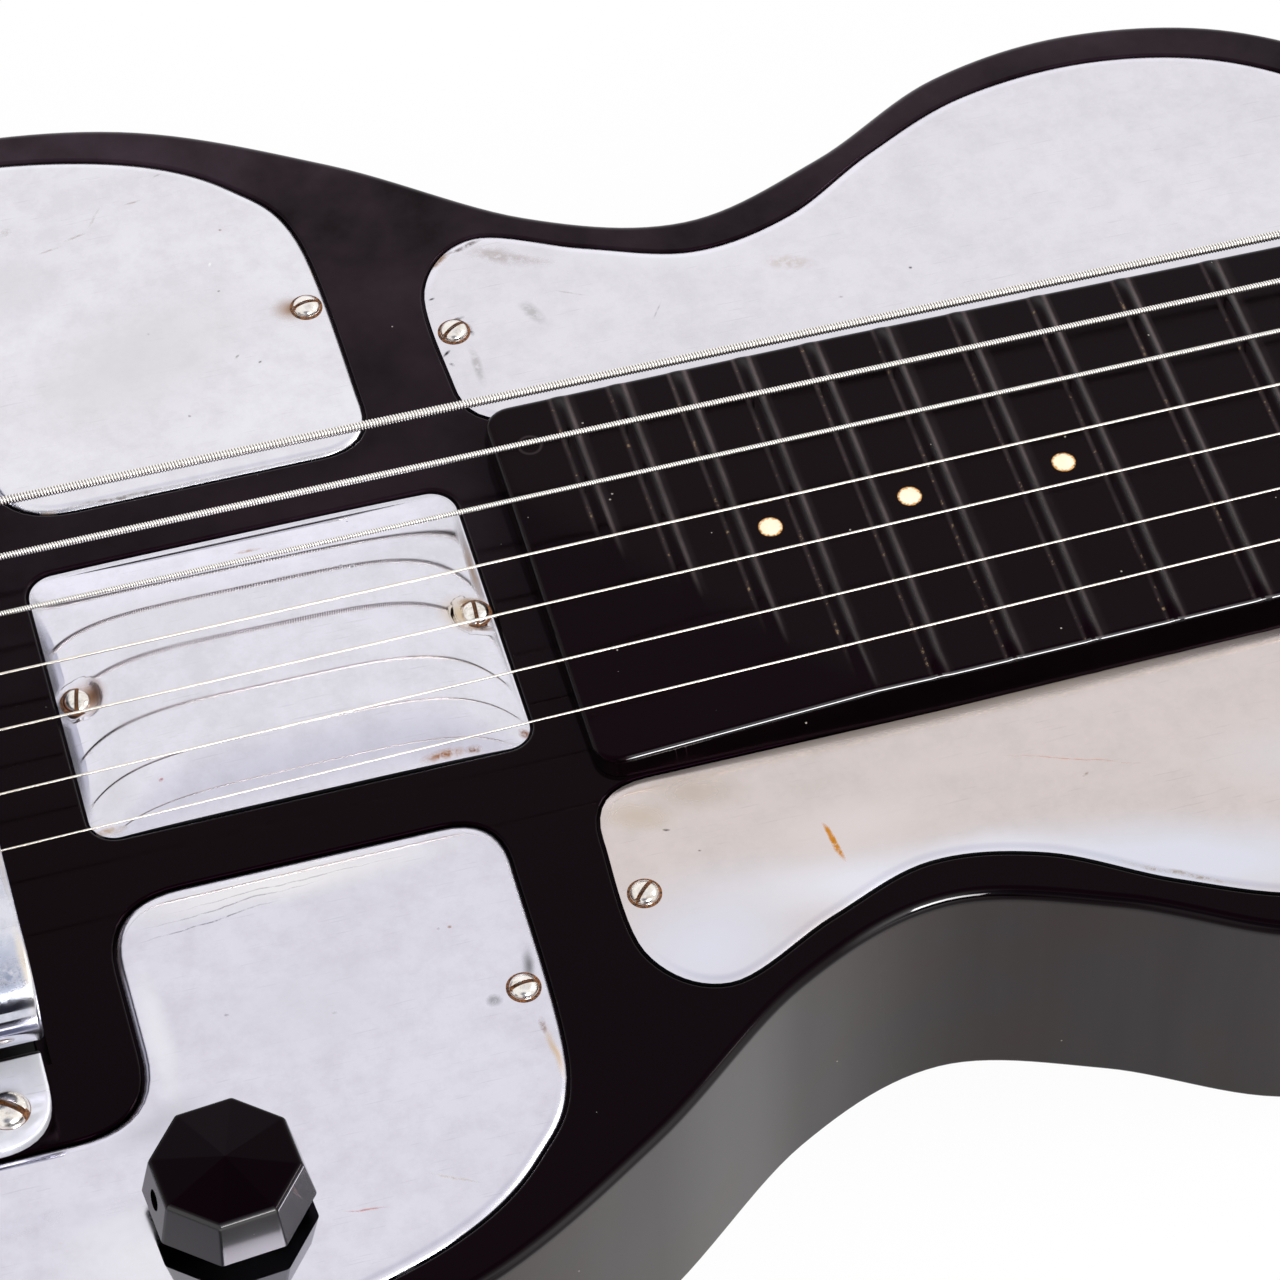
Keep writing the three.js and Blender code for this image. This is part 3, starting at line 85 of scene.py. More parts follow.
def spline(knots, steps):
    """Points on a smooth curve through the knots."""
    points = []
    last = len(knots) - 1
    for i in range(last):
        before = knots[max(i - 1, 0)]
        after = knots[min(i + 2, last)]
        for step in range(steps):
            t = step / steps
            place = []
            for p0, p1, p2, p3 in zip(before, knots[i], knots[i + 1], after):
                v1 = (p2 - p0) / 2
                v2 = (p3 - p1) / 2
                cubic = (2 * p1 - 2 * p2 + v1 + v2) * t ** 3
                square = (3 * p2 - 3 * p1 - 2 * v1 - v2) * t ** 2
                place.append(cubic + square + v1 * t + p1)
            points.append(tuple(place))
    points.append(tuple(knots[last]))
    return points


def arc(start, corner, end, steps):
    """A rounded corner, without its first point."""
    points = []
    for step in range(1, steps + 1):
        t = step / steps
        points.append(tuple(
            a * (1 - t) ** 2 + b * 2 * t * (1 - t) + c * t ** 2
            for a, b, c in zip(start, corner, end)
        ))
    return points


def clean(points):
    """An outline without doubled points, anticlockwise."""
    kept = []
    for point in points:
        if not kept or math.dist(point, kept[-1]) > 0.02:
            kept.append(point)
    if math.dist(kept[0], kept[-1]) <= 0.02:
        kept.pop()
    area = sum(a[0] * b[1] - b[0] * a[1] for a, b in zip(kept, kept[1:] + kept[:1]))
    return kept if area > 0 else kept[::-1]


def outset(points, distance):
    """An outline moved outward by a distance."""
    moved = []
    for i, point in enumerate(points):
        before = Vector(points[i - 1])
        here = Vector(point)
        after = Vector(points[(i + 1) % len(points)])
        first = (here - before).normalized()
        second = (after - here).normalized()
        normal = Vector((first.y + second.y, -first.x - second.x)).normalized()
        lean = max(0.5, normal.dot(Vector((second.y, -second.x))))
        moved.append(tuple(here + normal * distance / lean))
    return moved


def mirrored(points):
    """An outline on the other side of the middle line."""
    return [(x, -y) for x, y in reversed(points)]


def bands(count, levels, inside_out=False):
    """The four-sided faces between rings of corners."""
    faces = []
    for level in range(levels - 1):
        for i in range(count):
            a = level * count + i
            b = level * count + (i + 1) % count
            up = (a, b, b + count, a + count)
            faces.append((b, a, a + count, b + count) if inside_out else up)
    return faces


def capped(count, levels, inside_out=False):
    """All the faces of a closed solid through rings of corners."""
    way = 1 if inside_out else -1
    first = tuple(range(count))[::way]
    last = tuple(range((levels - 1) * count, levels * count))[::-way]
    return [first] + bands(count, levels, inside_out) + [last]


def stack(levels):
    """Corners and faces of a closed solid through rising rings of one outline."""
    corners = [(x, y, z) for ring, z in levels for x, y in ring]
    return corners, capped(len(levels[0][0]), len(levels))


def solid(name, corners, faces, marks=None):
    """A new object from corners in millimetres. The marks give its material a value at each."""
    mesh = bpy.data.meshes.new(name)
    mesh.from_pydata([[value * MM for value in corner] for corner in corners], [], faces)
    for mark, values in (marks or {}).items():
        mesh.attributes.new(mark, "FLOAT", "POINT").data.foreach_set("value", values)
    piece = bpy.data.objects.new(name, mesh)
    bpy.context.scene.collection.objects.link(piece)
    return piece


def stacked(name, levels, marks=None):
    """A new object through rising rings of one outline."""
    return solid(name, *stack(levels), marks)


def carve(piece, cutters, operation="DIFFERENCE"):
    """Cuts the cutters out of a piece, and removes them."""
    for cutter in cutters:
        change = piece.modifiers.new(cutter.name, "BOOLEAN")
        change.object = cutter
        change.operation = operation
        change.solver = "EXACT"
    depsgraph = bpy.context.evaluated_depsgraph_get()
    mesh = bpy.data.meshes.new_from_object(piece.evaluated_get(depsgraph))
    piece.modifiers.clear()
    piece.data = mesh
    for cutter in cutters:
        bpy.data.objects.remove(cutter)


def dress(piece, material, slot, body, *nodes, smooth=35):
    """Shades a finished piece, gives it its material and seats it on its CAD body."""
    piece.data.materials.clear()
    piece.data.materials.append(material)
    piece.data.shade_smooth()
    piece.data.set_sharp_from_angle(angle=math.radians(smooth))
    weighted = piece.modifiers.new("weighted", "WEIGHTED_NORMAL")
    weighted.keep_sharp = True
    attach(piece, body)
    if nodes:
        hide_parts(*nodes)
    return piece


def colour(code):
    """A linear colour from an sRGB hex value."""
    parts = [int(code[i:i + 2], 16) / 255 for i in (1, 3, 5)]
    linear = [p / 12.92 if p <= 0.04045 else ((p + 0.055) / 1.055) ** 2.4 for p in parts]
    return (*linear, 1)


def add_node(tree, kind, *inputs, out=0, stops=(), **settings):
    """Adds a shader node with its settings, and gives one of its outputs. An operation follows the
    kind after a point, and Mix mixes colours. The inputs are values, hex colours or links, in the
    order of the sockets in use, or a dictionary of them by name."""
    kind, _, operation = kind.partition(".")
    new = tree.nodes.new("ShaderNode" + kind)
    if operation:
        new.operation = operation
    if kind == "Mix":
        new.data_type = "RGBA"
    for name, value in settings.items():
        setattr(new, name, value)
    if inputs and not isinstance(inputs[0], dict):
        inputs = [dict(enumerate(inputs))]
    in_use = [socket for socket in new.inputs if socket.enabled]
    for place, value in (inputs[0].items() if inputs else ()):
        socket = in_use[place] if isinstance(place, int) else new.inputs[place]
        if isinstance(value, bpy.types.NodeSocket):
            tree.links.new(value, socket)
        else:
            socket.default_value = colour(value) if isinstance(value, str) else value
    for _ in stops[2:]:
        new.color_ramp.elements.new(1)
    for i, (place, value) in enumerate(stops):
        new.color_ramp.elements[i].position = place
        new.color_ramp.elements[i].color = colour(value)
    outputs = [socket for socket in new.outputs if socket.enabled]
    return (outputs[out] if isinstance(out, int) else new.outputs[out]) if outputs else new


def new_material(name):
    """An empty node material, and the function that adds a node to it."""
    material = bpy.data.materials.new(name)
    material.use_nodes = True
    material.node_tree.nodes.clear()
    return material, functools.partial(add_node, material.node_tree)


def surface(recipe):
    """Makes a recipe, which gives the values of a surface, into a function that gives a material.
    The recipe gets the function that adds a node, and the place on the object."""
    def make(name, *values, **more):
        material, add = new_material(name)
        inputs = recipe(add, add("TexCoord", out="Object"), *values, **more)
        add("OutputMaterial", {"Surface": add("BsdfPrincipled", inputs)})
        return material
    return make


def specks(add, place, scale, share, size):
    """Round specks, one at most in each cell of a pattern, and in a share of the cells."""
    cell = add("TexVoronoi", {"Vector": place, "Scale": scale}, out="Color")
    kept = add("Math.LESS_THAN", cell, share)
    small = add("Math.LESS_THAN", cell.node.outputs["Distance"], size)
    return add("Math.MULTIPLY", kept, small)


@surface
def phenolic(add, place, polish, speck_share, tint, edge_gloss):
    """Buffed phenolic resin: nearly black, with a wet gloss that brightens where it is seen at a
    slant, a hazy bloom from handling, hairline scratches and grey specks of dust. Below the face,
    the side wall is painted a lighter grey, a painted reflection of the white floor. The edge
    gloss is the roughness of the brighter skin where the mesh is marked with it."""
    # Bloom in patches about 25 mm across
    bloom = add("TexNoise", {"Vector": place, "Scale": 40, "Detail": 6, "Roughness": 0.62})
    # Dust, one speck to each 4 mm cell at most
    speck = specks(add, place, 260, speck_share, 0.034)
    # Hairlines: noise drawn out 40 times along X
    drawn = add("Mapping", {"Vector": place, "Scale": (30, 1200, 1200), "Rotation": (0, 0, 0.3)})
    hair = add("TexNoise", {"Vector": drawn, "Scale": 1, "Detail": 2})
    hair = add("ValToRGB", {"Fac": hair}, stops=[(0.66, "#000000"), (0.76, "#ffffff")])
    across = add("SeparateXYZ", {"Vector": place}, out="Y")
    # More bloom on the bass side, where no cloth or sleeve rubs
    aside = add("MapRange", across, -0.02, 0.12)
    cloud = add("MapRange", bloom, 0.3, 0.75)
    cloud = add("Math.MULTIPLY", cloud, aside)
    wall = add("MapRange", across.node.outputs["Z"], 0.0401, 0.0393)
    # The side wall's lighter grey is a painted reflection of the white floor, which it mirrors at a
    # slant. It is streaked upright from the mould, with a brown cast in patches
    upright = add("Mapping", {"Vector": place, "Scale": (150, 150, 14)})
    streak = add("TexNoise", {"Vector": upright, "Scale": 1, "Detail": 3})
    streak = add("MapRange", streak, 0.35, 0.65)
    side = add("Mix", streak, "#2a2728", "#2e2b2c")
    brown = add("MapRange", bloom, 0.45, 0.7, 0.0, 0.8)
    side = add("Mix", brown, side, "#2f2721")
    base = add("Mix", cloud, tint, "#3a2e36")
    # Painted reflection: the side wall takes the lighter grey
    base = add("Mix", wall, base, side)
    base = add("Mix", speck, base, "#8a8580")
    rough = add("MapRange", bloom, 0.3, 0.75, polish, polish + 0.1)
    rough = add("Math.MULTIPLY_ADD", hair, 0.1, rough)
    wave = add("TexNoise", {"Vector": place, "Scale": 55, "Detail": 1})
    relief = add("Bump", {"Height": wave, "Strength": 0.06, "Distance": 0.0004})
    gloss = add("Attribute", out="Fac", attribute_name="gloss")
    return {
        "Base Color": base, "Roughness": rough, "Normal": relief, "IOR": 1.5,
        "Specular Tint": (0.06, 0.014, 0.04, 1),
        "Coat Weight": gloss, "Coat Roughness": edge_gloss, "Coat IOR": 2.0,
    }


# Moulded resin with a high polish: black with a trace of plum
body_resin = phenolic("phenolic_moulded_buffed", 0.05, 0.3, "#050203", 0.05)


def body_outline():
    """The body's outline, from the front round the tail to the front."""
    half = [body_point(share) for share in BODY_SHARES]
    half.append((BODY_FRONT - 1.1, BOARD_BASE_HALF + 7.7))
    half.append((BODY_FRONT, BOARD_BASE_HALF))
    knots = half[::-1] + [(x, -y) for x, y in half[1:]]
    return clean(spline(knots, 12))


# Outlines of the cover plates, on the bass side, because the recesses are cut to them
PLATE_INNER_Y = 36
LOWER_RIM = [
    (0.492, 0.69), (0.471, 0.81), (0.434, 0.891), (0.377, 0.94), (0.31, 0.95),
    (0.235, 0.918), (0.15, 0.806), (0.075, 0.6), (0.045, 0.42),
]
LOWER_TAIL = [(0.07, 0.31), (0.105, 0.4), (0.15, 0.55), (0.21, 0.635)]
UPPER_WAIST = [
    (0.5345, 0.56), (0.562, 0.632), (0.608, 0.572), (0.652, 0.526), (0.697, 0.553),
    (0.741, 0.634), (0.789, 0.7), (0.847, 0.716), (0.902, 0.672), (0.944, 0.57), (0.963, 0.44),
]
LOWER_FRONT_X = 123.4
LOWER_NOTCH_X = 66.2
LOWER_NOTCH_Y = 73.9
LOWER_NOTCH_CORNER = 12
UPPER_START_X = 137.2
CENTRE_X = (67.5, 132.47)
CENTRE_HALF = 24.8
CENTRE_CORNER = 4


def lower_plate_outline():
    """A plate beside the bridge, with the notch for the pickup's lug."""
    inner = PLATE_INNER_Y
    rim = [body_point(share) for share in LOWER_RIM]
    tail = [body_point(share) for share in LOWER_TAIL]
    front = (LOWER_FRONT_X, inner + 8)
    points = [(LOWER_NOTCH_X + 11.5, inner), (LOWER_FRONT_X - 8, inner)]
    points += arc(points[-1], (LOWER_FRONT_X, inner), front, 8)
    points += spline([front] + rim, 10)
    points += arc(rim[-1], (rim[-1][0], tail[0][1]), tail[0], 8)
    points += spline(tail, 8)
    corner = LOWER_NOTCH_CORNER
    points += [(tail[-1][0] + 9, LOWER_NOTCH_Y), (LOWER_NOTCH_X - corner, LOWER_NOTCH_Y)]
    below = (LOWER_NOTCH_X, LOWER_NOTCH_Y - corner)
    points += arc(points[-1], (LOWER_NOTCH_X, LOWER_NOTCH_Y), below, 10)
    points.append((LOWER_NOTCH_X, inner + 11.5))
    points += arc(points[-1], (LOWER_NOTCH_X, inner), (LOWER_NOTCH_X + 11.5, inner), 10)
    return clean(points)


def beside_neck(x):
    """The upper plates' inner edge, which follows the neck's side."""
    return 35.4 - 0.02 * max(0, x - 190)


def upper_plate_outline():
    """A plate beside the neck, which follows the waist."""
    inner = beside_neck(UPPER_START_X)
    waist = [body_point(share) for share in UPPER_WAIST]
    start = (UPPER_START_X, inner + 9)
    points = [(x, beside_neck(x)) for x in (270, 230, 190, UPPER_START_X + 9)]
    points += arc(points[-1], (UPPER_START_X, inner), start, 8)
    points += spline([start] + waist, 10)
    end = waist[-1][0]
    points += arc(waist[-1], (end, beside_neck(end)), (end - 9, beside_neck(end - 9)), 8)
    return clean(points)


def centre_plate_outline():
    """The plate between pickup and board."""
    x0, x1 = CENTRE_X
    points = []
    for x, y, turn in ((x1, -1, -90), (x1, 1, 0), (x0, 1, 90), (x0, -1, 180)):
        middle_x = x + (CENTRE_CORNER if x == x0 else -CENTRE_CORNER)
        middle_y = y * (CENTRE_HALF - CENTRE_CORNER)
        for step in range(9):
            angle = math.radians(turn + step * 90 / 8)
            points.append((
                middle_x + CENTRE_CORNER * math.cos(angle),
                middle_y + CENTRE_CORNER * math.sin(angle),
            ))
    return clean(points)


lower_plate = lower_plate_outline()
upper_plate = upper_plate_outline()
# The bass one is filed a little shorter at its end by the pickup
filed = []
for x, y in upper_plate:
    near = max(0, 1 - (x - UPPER_START_X) / 26)
    filed.append((x + near * 0.9, y - near * 0.4 * (y > 45)))
plate_outlines = {
    "plate_lower_bass": lower_plate,
    "plate_lower_treble": mirrored(lower_plate),
    "plate_upper_bass": clean(filed),
    "plate_upper_treble": mirrored(upper_plate),
    "plate_centre": centre_plate_outline(),
}


def quarter(steps):
    """How far each step of a quarter turn has gone sideways, and how far up, as shares."""
    turns = [math.radians(90 * step / steps) for step in range(steps + 1)]
    return [(1 - math.cos(turn), math.sin(turn)) for turn in turns]


def rim_levels(outline, radius, top, steps, side=-1):
    """Rings that round an upper edge off: inward, or outward where side is 1."""
    return [(outset(outline, side * radius * aside), top - radius + radius * up)
            for aside, up in quarter(steps)]


def foot_levels(outline, radius, bottom, reach=0):
    """Rings that round a lower edge off, up to where the outline reaches furthest out."""
    return [(outset(outline, reach - radius * (1 - up)), bottom + radius * aside)
            for aside, up in quarter(5)]


# Where the hand polishes the treble edge: the middle of each place, its reach and its strength
HAND_RESTS = [(177, 13, 1), (120, 40, 0.3)]


def body_shell():
    """The outside of the moulding, a little proud of its solid. Its side leans out toward the
    back, as it had to leave the mould, and its edges are rounded."""
    outline = outset(body_outline(), BODY_PROUD)
    levels = foot_levels(outline, BACK_RADIUS, 0, BODY_DRAFT)
    levels += rim_levels(outline, BODY_EDGE_RADIUS, BODY_TOP, 8)
    # The middle of the face's edge took the most buffing
    shine = [0] * 6 + [0, 0, 0.2, 0.8, 1, 0.35, 0.05, 0, 0]
    gloss = []
    for share, (ring, _) in zip(shine, levels):
        for x, y in ring:
            # and where the hand rests, at the treble side's waist
            rested = sum(
                most * max(0, 1 - abs(x - middle) / reach) for middle, reach, most in HAND_RESTS)
            gloss.append(share * (0.1 + 0.9 * min(1, rested) * (y < 0)))
    return stacked("body_moulding", levels, {"gloss": gloss})


def recess(name, outline):
    """A cutter for one plate's recess, flared at its mouth so that the lip comes out round."""
    wall = outset(outline, RECESS_GAP)
    levels = [(wall, RECESS_FLOOR)] + rim_levels(wall, LIP_RADIUS, BODY_TOP, 4, 1)
    levels.append((outset(wall, LIP_RADIUS + 0.01), BODY_TOP + 2))
    return stacked(name, levels)


def block(name, x0, x1, y0, y1, z0, z1):
    """A square block, which is also the shape of many cutters."""
    ring = [(x0, y0), (x1, y0), (x1, y1), (x0, y1)]
    return stacked(name, [(ring, z0), (ring, z1)])


def drawn_in(radius, into):
    """How far a rounded corner lies inside its square one, at a distance into it."""
    return radius - math.sqrt(radius ** 2 - (radius - into) ** 2) if into < radius else 0


def circle(radius, x, y, sides):
    """A round outline."""
    turns = [2 * math.pi * i / sides for i in range(sides)]
    return [(x + radius * math.cos(a), y + radius * math.sin(a)) for a in turns]


def turned(name, profile, sides, x=0, y=0):
    """A turned solid on an upright axis. The profile of radii and heights runs upward."""
    return stacked(name, [(circle(max(radius, 0.02), x, y, sides), z) for radius, z in profile])


body = body_shell()
cutters = [recess("cut_" + name, outline) for name, outline in plate_outlines.items()]
cutters.append(block("cut_well", *WELL_X, -WELL_Y, WELL_Y, BODY_TOP - WELL_DEPTH, BODY_TOP + 5))
cutters.append(block("cut_slot", TENON_START, BODY_FRONT + 9, -TENON_HALF, TENON_HALF,
                     TENON_LOW, BODY_TOP + 5))
for y in SADDLE_Y:
    cutters.append(turned("cut_string", [(1.6, 3), (1.6, 45)], 20, STRING_HOLE_X, y))
    cutters.append(turned("cut_ball", [(2.5, -3), (2.5, BALL_SEAT)], 24, STRING_HOLE_X, y))
cutters.append(turned("cut_bolt", [(BOLT_HOLE, -3), (BOLT_HOLE, 5)], 40, BOLT_X))
carve(body, cutters)
dress(body, body_resin, "moulded_black", "chassis", "body")


# The neck. Fingerboard, frets, nut, head and tenon are one black moulding. The frets are only low
# ridges, since the strings are stopped by a steel bar, and the treble corner is eased away under
# the player's hand. A line of cream dots is let into the board.

SCALE = 571.5
BOARD_TOP = 46.9
SHOULDER = 41.6
HALF_AT_START = 33.5
TAPER_START = 195
HALF_AT_NUT = 28.2
NECK_DEPTH = (24, 19.5)
BOARD_THICKNESS = 5.4
FRET_HEIGHT = 0.65
FRET_HALF = 1.5
FOOT = 1.25
BOARD_CORNER = 4
BOARD_EDGE = 0.9
SIDE_DRAFT = 1.8
EASE_DROP = 3
EASE_REACH = (42, 50)
FRETS = [SCALE * 2 ** (-fret / 12) for fret in range(1, 24)]


def neck_half(x):
    """Half the neck's width: even between the plates' first halves, then down to the nut."""
    share = max(0, x - TAPER_START) / (SCALE - TAPER_START)
    return HALF_AT_START + (HALF_AT_NUT - HALF_AT_START) * share


def fret_distance(x):
    """The signed distance to the nearest fret's middle."""
    return min((x - fret for fret in FRETS), key=abs)


def ease_height(x, y):
    """The easing plane's height over the board's surface."""
    short = 1 - (x - BOARD_START) / EASE_REACH[0] - (y + HALF_AT_START) / EASE_REACH[1]
    return -EASE_DROP * short


def board_height(x, y):
    """The board's surface: flat, with its ridges, which run out low at the edges, and the eased
    treble corner."""
    ease = ease_height(x, y)
    distance = abs(fret_distance(x)) / FRET_HALF
    ridge = 0.0
    if distance < 1:
        ridge = FRET_HEIGHT * (0.5 + 0.5 * math.cos(math.pi * distance)) ** 0.75
        ridge *= 0.2 + 0.8 * min(1, max(0, (neck_half(x) - abs(y) - BOARD_EDGE) / 2.2))
    return BOARD_TOP + min(ease, ridge)


def board_stations():
    """Places along the neck for its sections: close together at the frets and the front edge."""
    places = [BOARD_START + step for step in (0, 0.05, 0.2, 0.45, 0.9, 1.5, 2.3, 3.2, 4)]
    places += [BOARD_START + 4 + 1.5 * i for i in range(1, 300)]
    for fret in FRETS:
        places += [fret + FRET_HALF * i / 7 for i in range(-8, 9)]
    places = sorted(x for x in places if x < SCALE - 1)
    kept = [places[0]]
    for x in places:
        if x - kept[-1] > 0.12 or x < BOARD_START + 1:
            kept.append(x)
    joint = BODY_FRONT + 0.3
    kept = [x for x in kept if abs(x - joint) > 0.2] + [joint, joint + 0.0001, SCALE]
    return sorted(set(kept))


def neck_moulding():
    """The neck as sections along X, each from the bass edge over the board and back underneath."""
    columns = [math.sin(math.pi / 2 * (i / 15 - 1)) for i in range(31)]
    corners, head_feet, tail_feet, edges, shines = [], [], [], [], []
    stations = board_stations()
    joint = BODY_FRONT + 0.30005
    for x in stations:
        into = x - BOARD_START
        full = neck_half(x)
        half = full - drawn_in(BOARD_CORNER, into)
        low = drawn_in(BOARD_EDGE, into)
        section = []
        for share in columns:
            y = share * (half - BOARD_EDGE)
            section.append((y, board_height(x, y) - low))
        bass, treble = section[-1], section[0]
        for aside, up in quarter(5)[1:]:
            y, z = BOARD_EDGE * up, BOARD_EDGE * aside
            section.append((bass[0] + y, bass[1] - z))
            section.insert(0, (treble[0] - y, treble[1] - z))
        under = [half, half]
        if x < joint:
            for i, top in enumerate((bass[1], treble[1])):
                under[i] += SIDE_DRAFT * (top - SHOULDER) / (BOARD_TOP - SHOULDER)
        share = (x - BODY_FRONT) / (SCALE - BODY_FRONT)
        depth = NECK_DEPTH[0] + (NECK_DEPTH[1] - NECK_DEPTH[0]) * share
        for i in range(17):
            angle = math.pi * i / 16
            y = under[i > 8] * math.cos(angle)
            z = SHOULDER
            if x > joint:
                z = SHOULDER - (depth - BOARD_THICKNESS) * math.sin(angle)
            section.append((y, z))
        distance = fret_distance(x)
        for y, z in section:
            corners.append((x, y, z))
            shown = min(1, max(0, ease_height(x, y) / 0.35)) if z > BOARD_TOP - 0.3 else 0
            head_feet.append(shown * max(0, 1 - abs(distance - FOOT) / 0.55))
            tail_feet.append(shown * max(0, 1 - abs(distance + FOOT) / 0.4))
            below = min(board_height(x, max(-half, min(half, y))), BOARD_TOP) - z
            beside = max(0, min(full - abs(y), into) - 0.2)
            edges.append(min(5, beside + max(0, below - 0.2) * 3))
            shines.append(1.0 if 0.06 < below < 0.6 and y < 0 and into > BOARD_CORNER else 0.0)
    faces = capped(len(section), len(stations), True)
    marks = {"head_foot": head_feet, "tail_foot": tail_feet, "edge": edges, "gloss": shines}
    return solid("neck_moulding", corners, faces, marks)


@surface
def board_resin(add, place):
    """The same resin, dulled. Two soft grey lines along the foot of each ridge are painted
    highlights of its flanks, and the edges carry a faint painted grey highlight."""
    head_line = add("Attribute", out="Fac", attribute_name="head_foot")
    tail_line = add("Attribute", out="Fac", attribute_name="tail_foot")
    edge = add("Attribute", out="Fac", attribute_name="edge")
    grain = add("TexNoise", {"Vector": place, "Scale": 900, "Detail": 5, "Roughness": 0.75})
    patch = add("TexNoise", {"Vector": place, "Scale": 120, "Detail": 3})
    # Painted highlights of each ridge's two flanks, in grey, fainter toward the treble side, in a
    # line that comes and goes
    parts = add("SeparateXYZ", {"Vector": place}, out="Y")
    bass = add("MapRange", parts, -0.03, 0.03, 0.4, 1.0)
    soft = add("MapRange", patch, 0.3, 0.65, 0.35, 1.0)
    head_flank_highlight = add("Math.MULTIPLY", head_line, 0.75)
    tail_flank_highlight = add("Math.MULTIPLY", tail_line, 0.45)
    lines = add("Math.ADD", head_flank_highlight, tail_flank_highlight)
    lines = add("Math.MULTIPLY", lines, soft)
    lines = add("Math.MULTIPLY", lines, bass)
    # Gold-brown crumbs along the tail-side foot
    gold = add("MapRange", grain, 0.58, 0.66)
    near = add("MapRange", tail_line, 0.3, 0.8)
    gold = add("Math.MULTIPLY", gold, near)
    # A faint painted grey highlight along the board's edges
    rubbed = add("MapRange", edge, 0.0, 0.4, 0.12, 0.0)
    # The ring that the mould's ejector pin left near the bass corner
    pin = add("VectorMath.DISTANCE", place, (0.145, 0.025, 0.0469))
    pin = add("Math.ADD", pin, -0.0017)
    pin = add("Math.ABSOLUTE", pin)
    pin = add("MapRange", pin, 0.00005, 0.0003, 0.18, 0.0)
    marked = add("Math.MAXIMUM", lines, rubbed)
    marked = add("Math.MAXIMUM", marked, pin)
    speck = specks(add, place, 260, 0.35, 0.04)
    # Grey for the painted highlights on the ridges and edges, and for the pin's ring
    base = add("Mix", marked, "#050203", "#6a5e5e")
    base = add("Mix", gold, base, "#8a7458")
    base = add("Mix", speck, base, "#9a948c")
    rough = add("MapRange", patch, 0.3, 0.7, 0.1, 0.2)
    rough = add("Math.MULTIPLY_ADD", lines, 0.3, rough)
    relief = add("Bump", {"Height": grain, "Strength": 0.04, "Distance": 0.0002})
    gloss = add("Attribute", out="Fac", attribute_name="gloss")
    return {
        "Base Color": base, "Roughness": rough, "Normal": relief,
        "IOR": 1.55, "Specular Tint": (0.075, 0.022, 0.05, 1),
        "Coat Weight": gloss, "Coat Roughness": 0.05, "Coat IOR": 2.0,
    }


rubbed_resin = board_resin("phenolic_moulded_rubbed")
neck = neck_moulding()
dress(neck, rubbed_resin, "moulded_black", "chassis", "neck", smooth=50)

HEAD_TOP = 42.9
HEAD_BOTTOM = 27.4
HEAD_LENGTH = 105
HEAD_HALF = 40
HEAD_CORNER = 12
HEAD_EDGE_RADIUS = 1.5
TUNER_PLACES = [21.5, 43.5, 65.5, 87.5]
TUNER_OFFSET = 24
TUNER_SIDES = [(0, 1), (1, 1), (2, 1), (3, 1), (2, -1), (1, -1), (0, -1)]


def head_outline():
    """The head, which swells out from the nut."""
    x0, x1 = SCALE, SCALE + HEAD_LENGTH
    swell = HEAD_CORNER
    side = [(x0 - 8, HALF_AT_NUT)]
    side += spline([(x0, HALF_AT_NUT), (x0 + swell * 0.4, 31.5), (x0 + swell * 0.8, 37.6),
                    (x0 + swell * 1.4, HEAD_HALF)], 8)
    side.append((x1 - swell, HEAD_HALF))
    side += arc(side[-1], (x1, HEAD_HALF), (x1, HEAD_HALF - swell), 10)
    return clean(side + [(x, -y) for x, y in reversed(side)])


outline = head_outline()
levels = foot_levels(outline, HEAD_EDGE_RADIUS, HEAD_BOTTOM)
levels += rim_levels(outline, HEAD_EDGE_RADIUS, HEAD_TOP, 6)
head = stacked("head_moulding", levels)
carve(head, [
    turned("cut_post", [(3.6, 20), (3.6, 50)], 24, SCALE + TUNER_PLACES[rank], side * TUNER_OFFSET)
    for rank, side in TUNER_SIDES
])
dress(head, body_resin, "moulded_black", "chassis", "neck")

NUT_BASE_Z = 42.95
NUT_TOP = 57.3
NUT_Y = [23.6 * share for share in (1, 0.702, 0.372, 0.009, -0.32, -0.647, -0.994)]
STRING_RADII = [0.7, 0.5, 0.4, 0.3, 0.27, 0.24, 0.21]
STRING_Z_AT_SADDLE = 51.8
STRING_Z_AT_NUT = 56.5


def bar_along_y(name, section, half, radius):
    """A closed solid from a section in X and Z, drawn out along Y, its two ends eased."""
    middle_x = sum(x for x, z in section) / len(section)
    middle_z = sum(z for x, z in section) / len(section)
    corners = []
    rows = [(-half, radius), (-half + radius * 0.3, radius * 0.3), (-half + radius, 0)]
    rows += [(-y, short) for y, short in rows[::-1]]
    for y, short in rows:
        for x, z in section:
            reach = math.dist((x, z), (middle_x, middle_z))
            share = 1 - short / reach
            corners.append((
                middle_x + (x - middle_x) * share, y, middle_z + (z - middle_z) * share))
    return solid(name, corners, capped(len(section), len(rows), True))


def bevelled(piece, width, segments=3, angle=30):
    """Rounds a piece's edges."""
    edge = piece.modifiers.new("edge", "BEVEL")
    edge.width = width * MM
    edge.segments = segments
    edge.limit_method = "ANGLE"
    edge.angle_limit = math.radians(angle)
    return piece


nut = bar_along_y("nut_ridge", [
    (565.2, BOARD_TOP), (568.4, 47.2), (570.3, 56.6), (570.9, NUT_TOP), (572.1, NUT_TOP),
    (573.2, 56.4), (586, 43.4), (586, NUT_BASE_Z), (570, NUT_BASE_Z),
], HALF_AT_NUT - 0.9, 0.7)
carve(nut, [
    block("cut_nut", 560, 590, y - radius - 0.2, y + radius + 0.2,
          STRING_Z_AT_NUT - radius - 0.05, NUT_TOP + 2)
    for y, radius in zip(NUT_Y, STRING_RADII)
])
dress(bevelled(nut, 0.2, 2), body_resin, "moulded_black", "chassis", "neck")


# Position marks. Eight cream celluloid pegs, two of them side by side, pressed into drilled holes
# and sanded flush; the glue line round each one has gone brown.

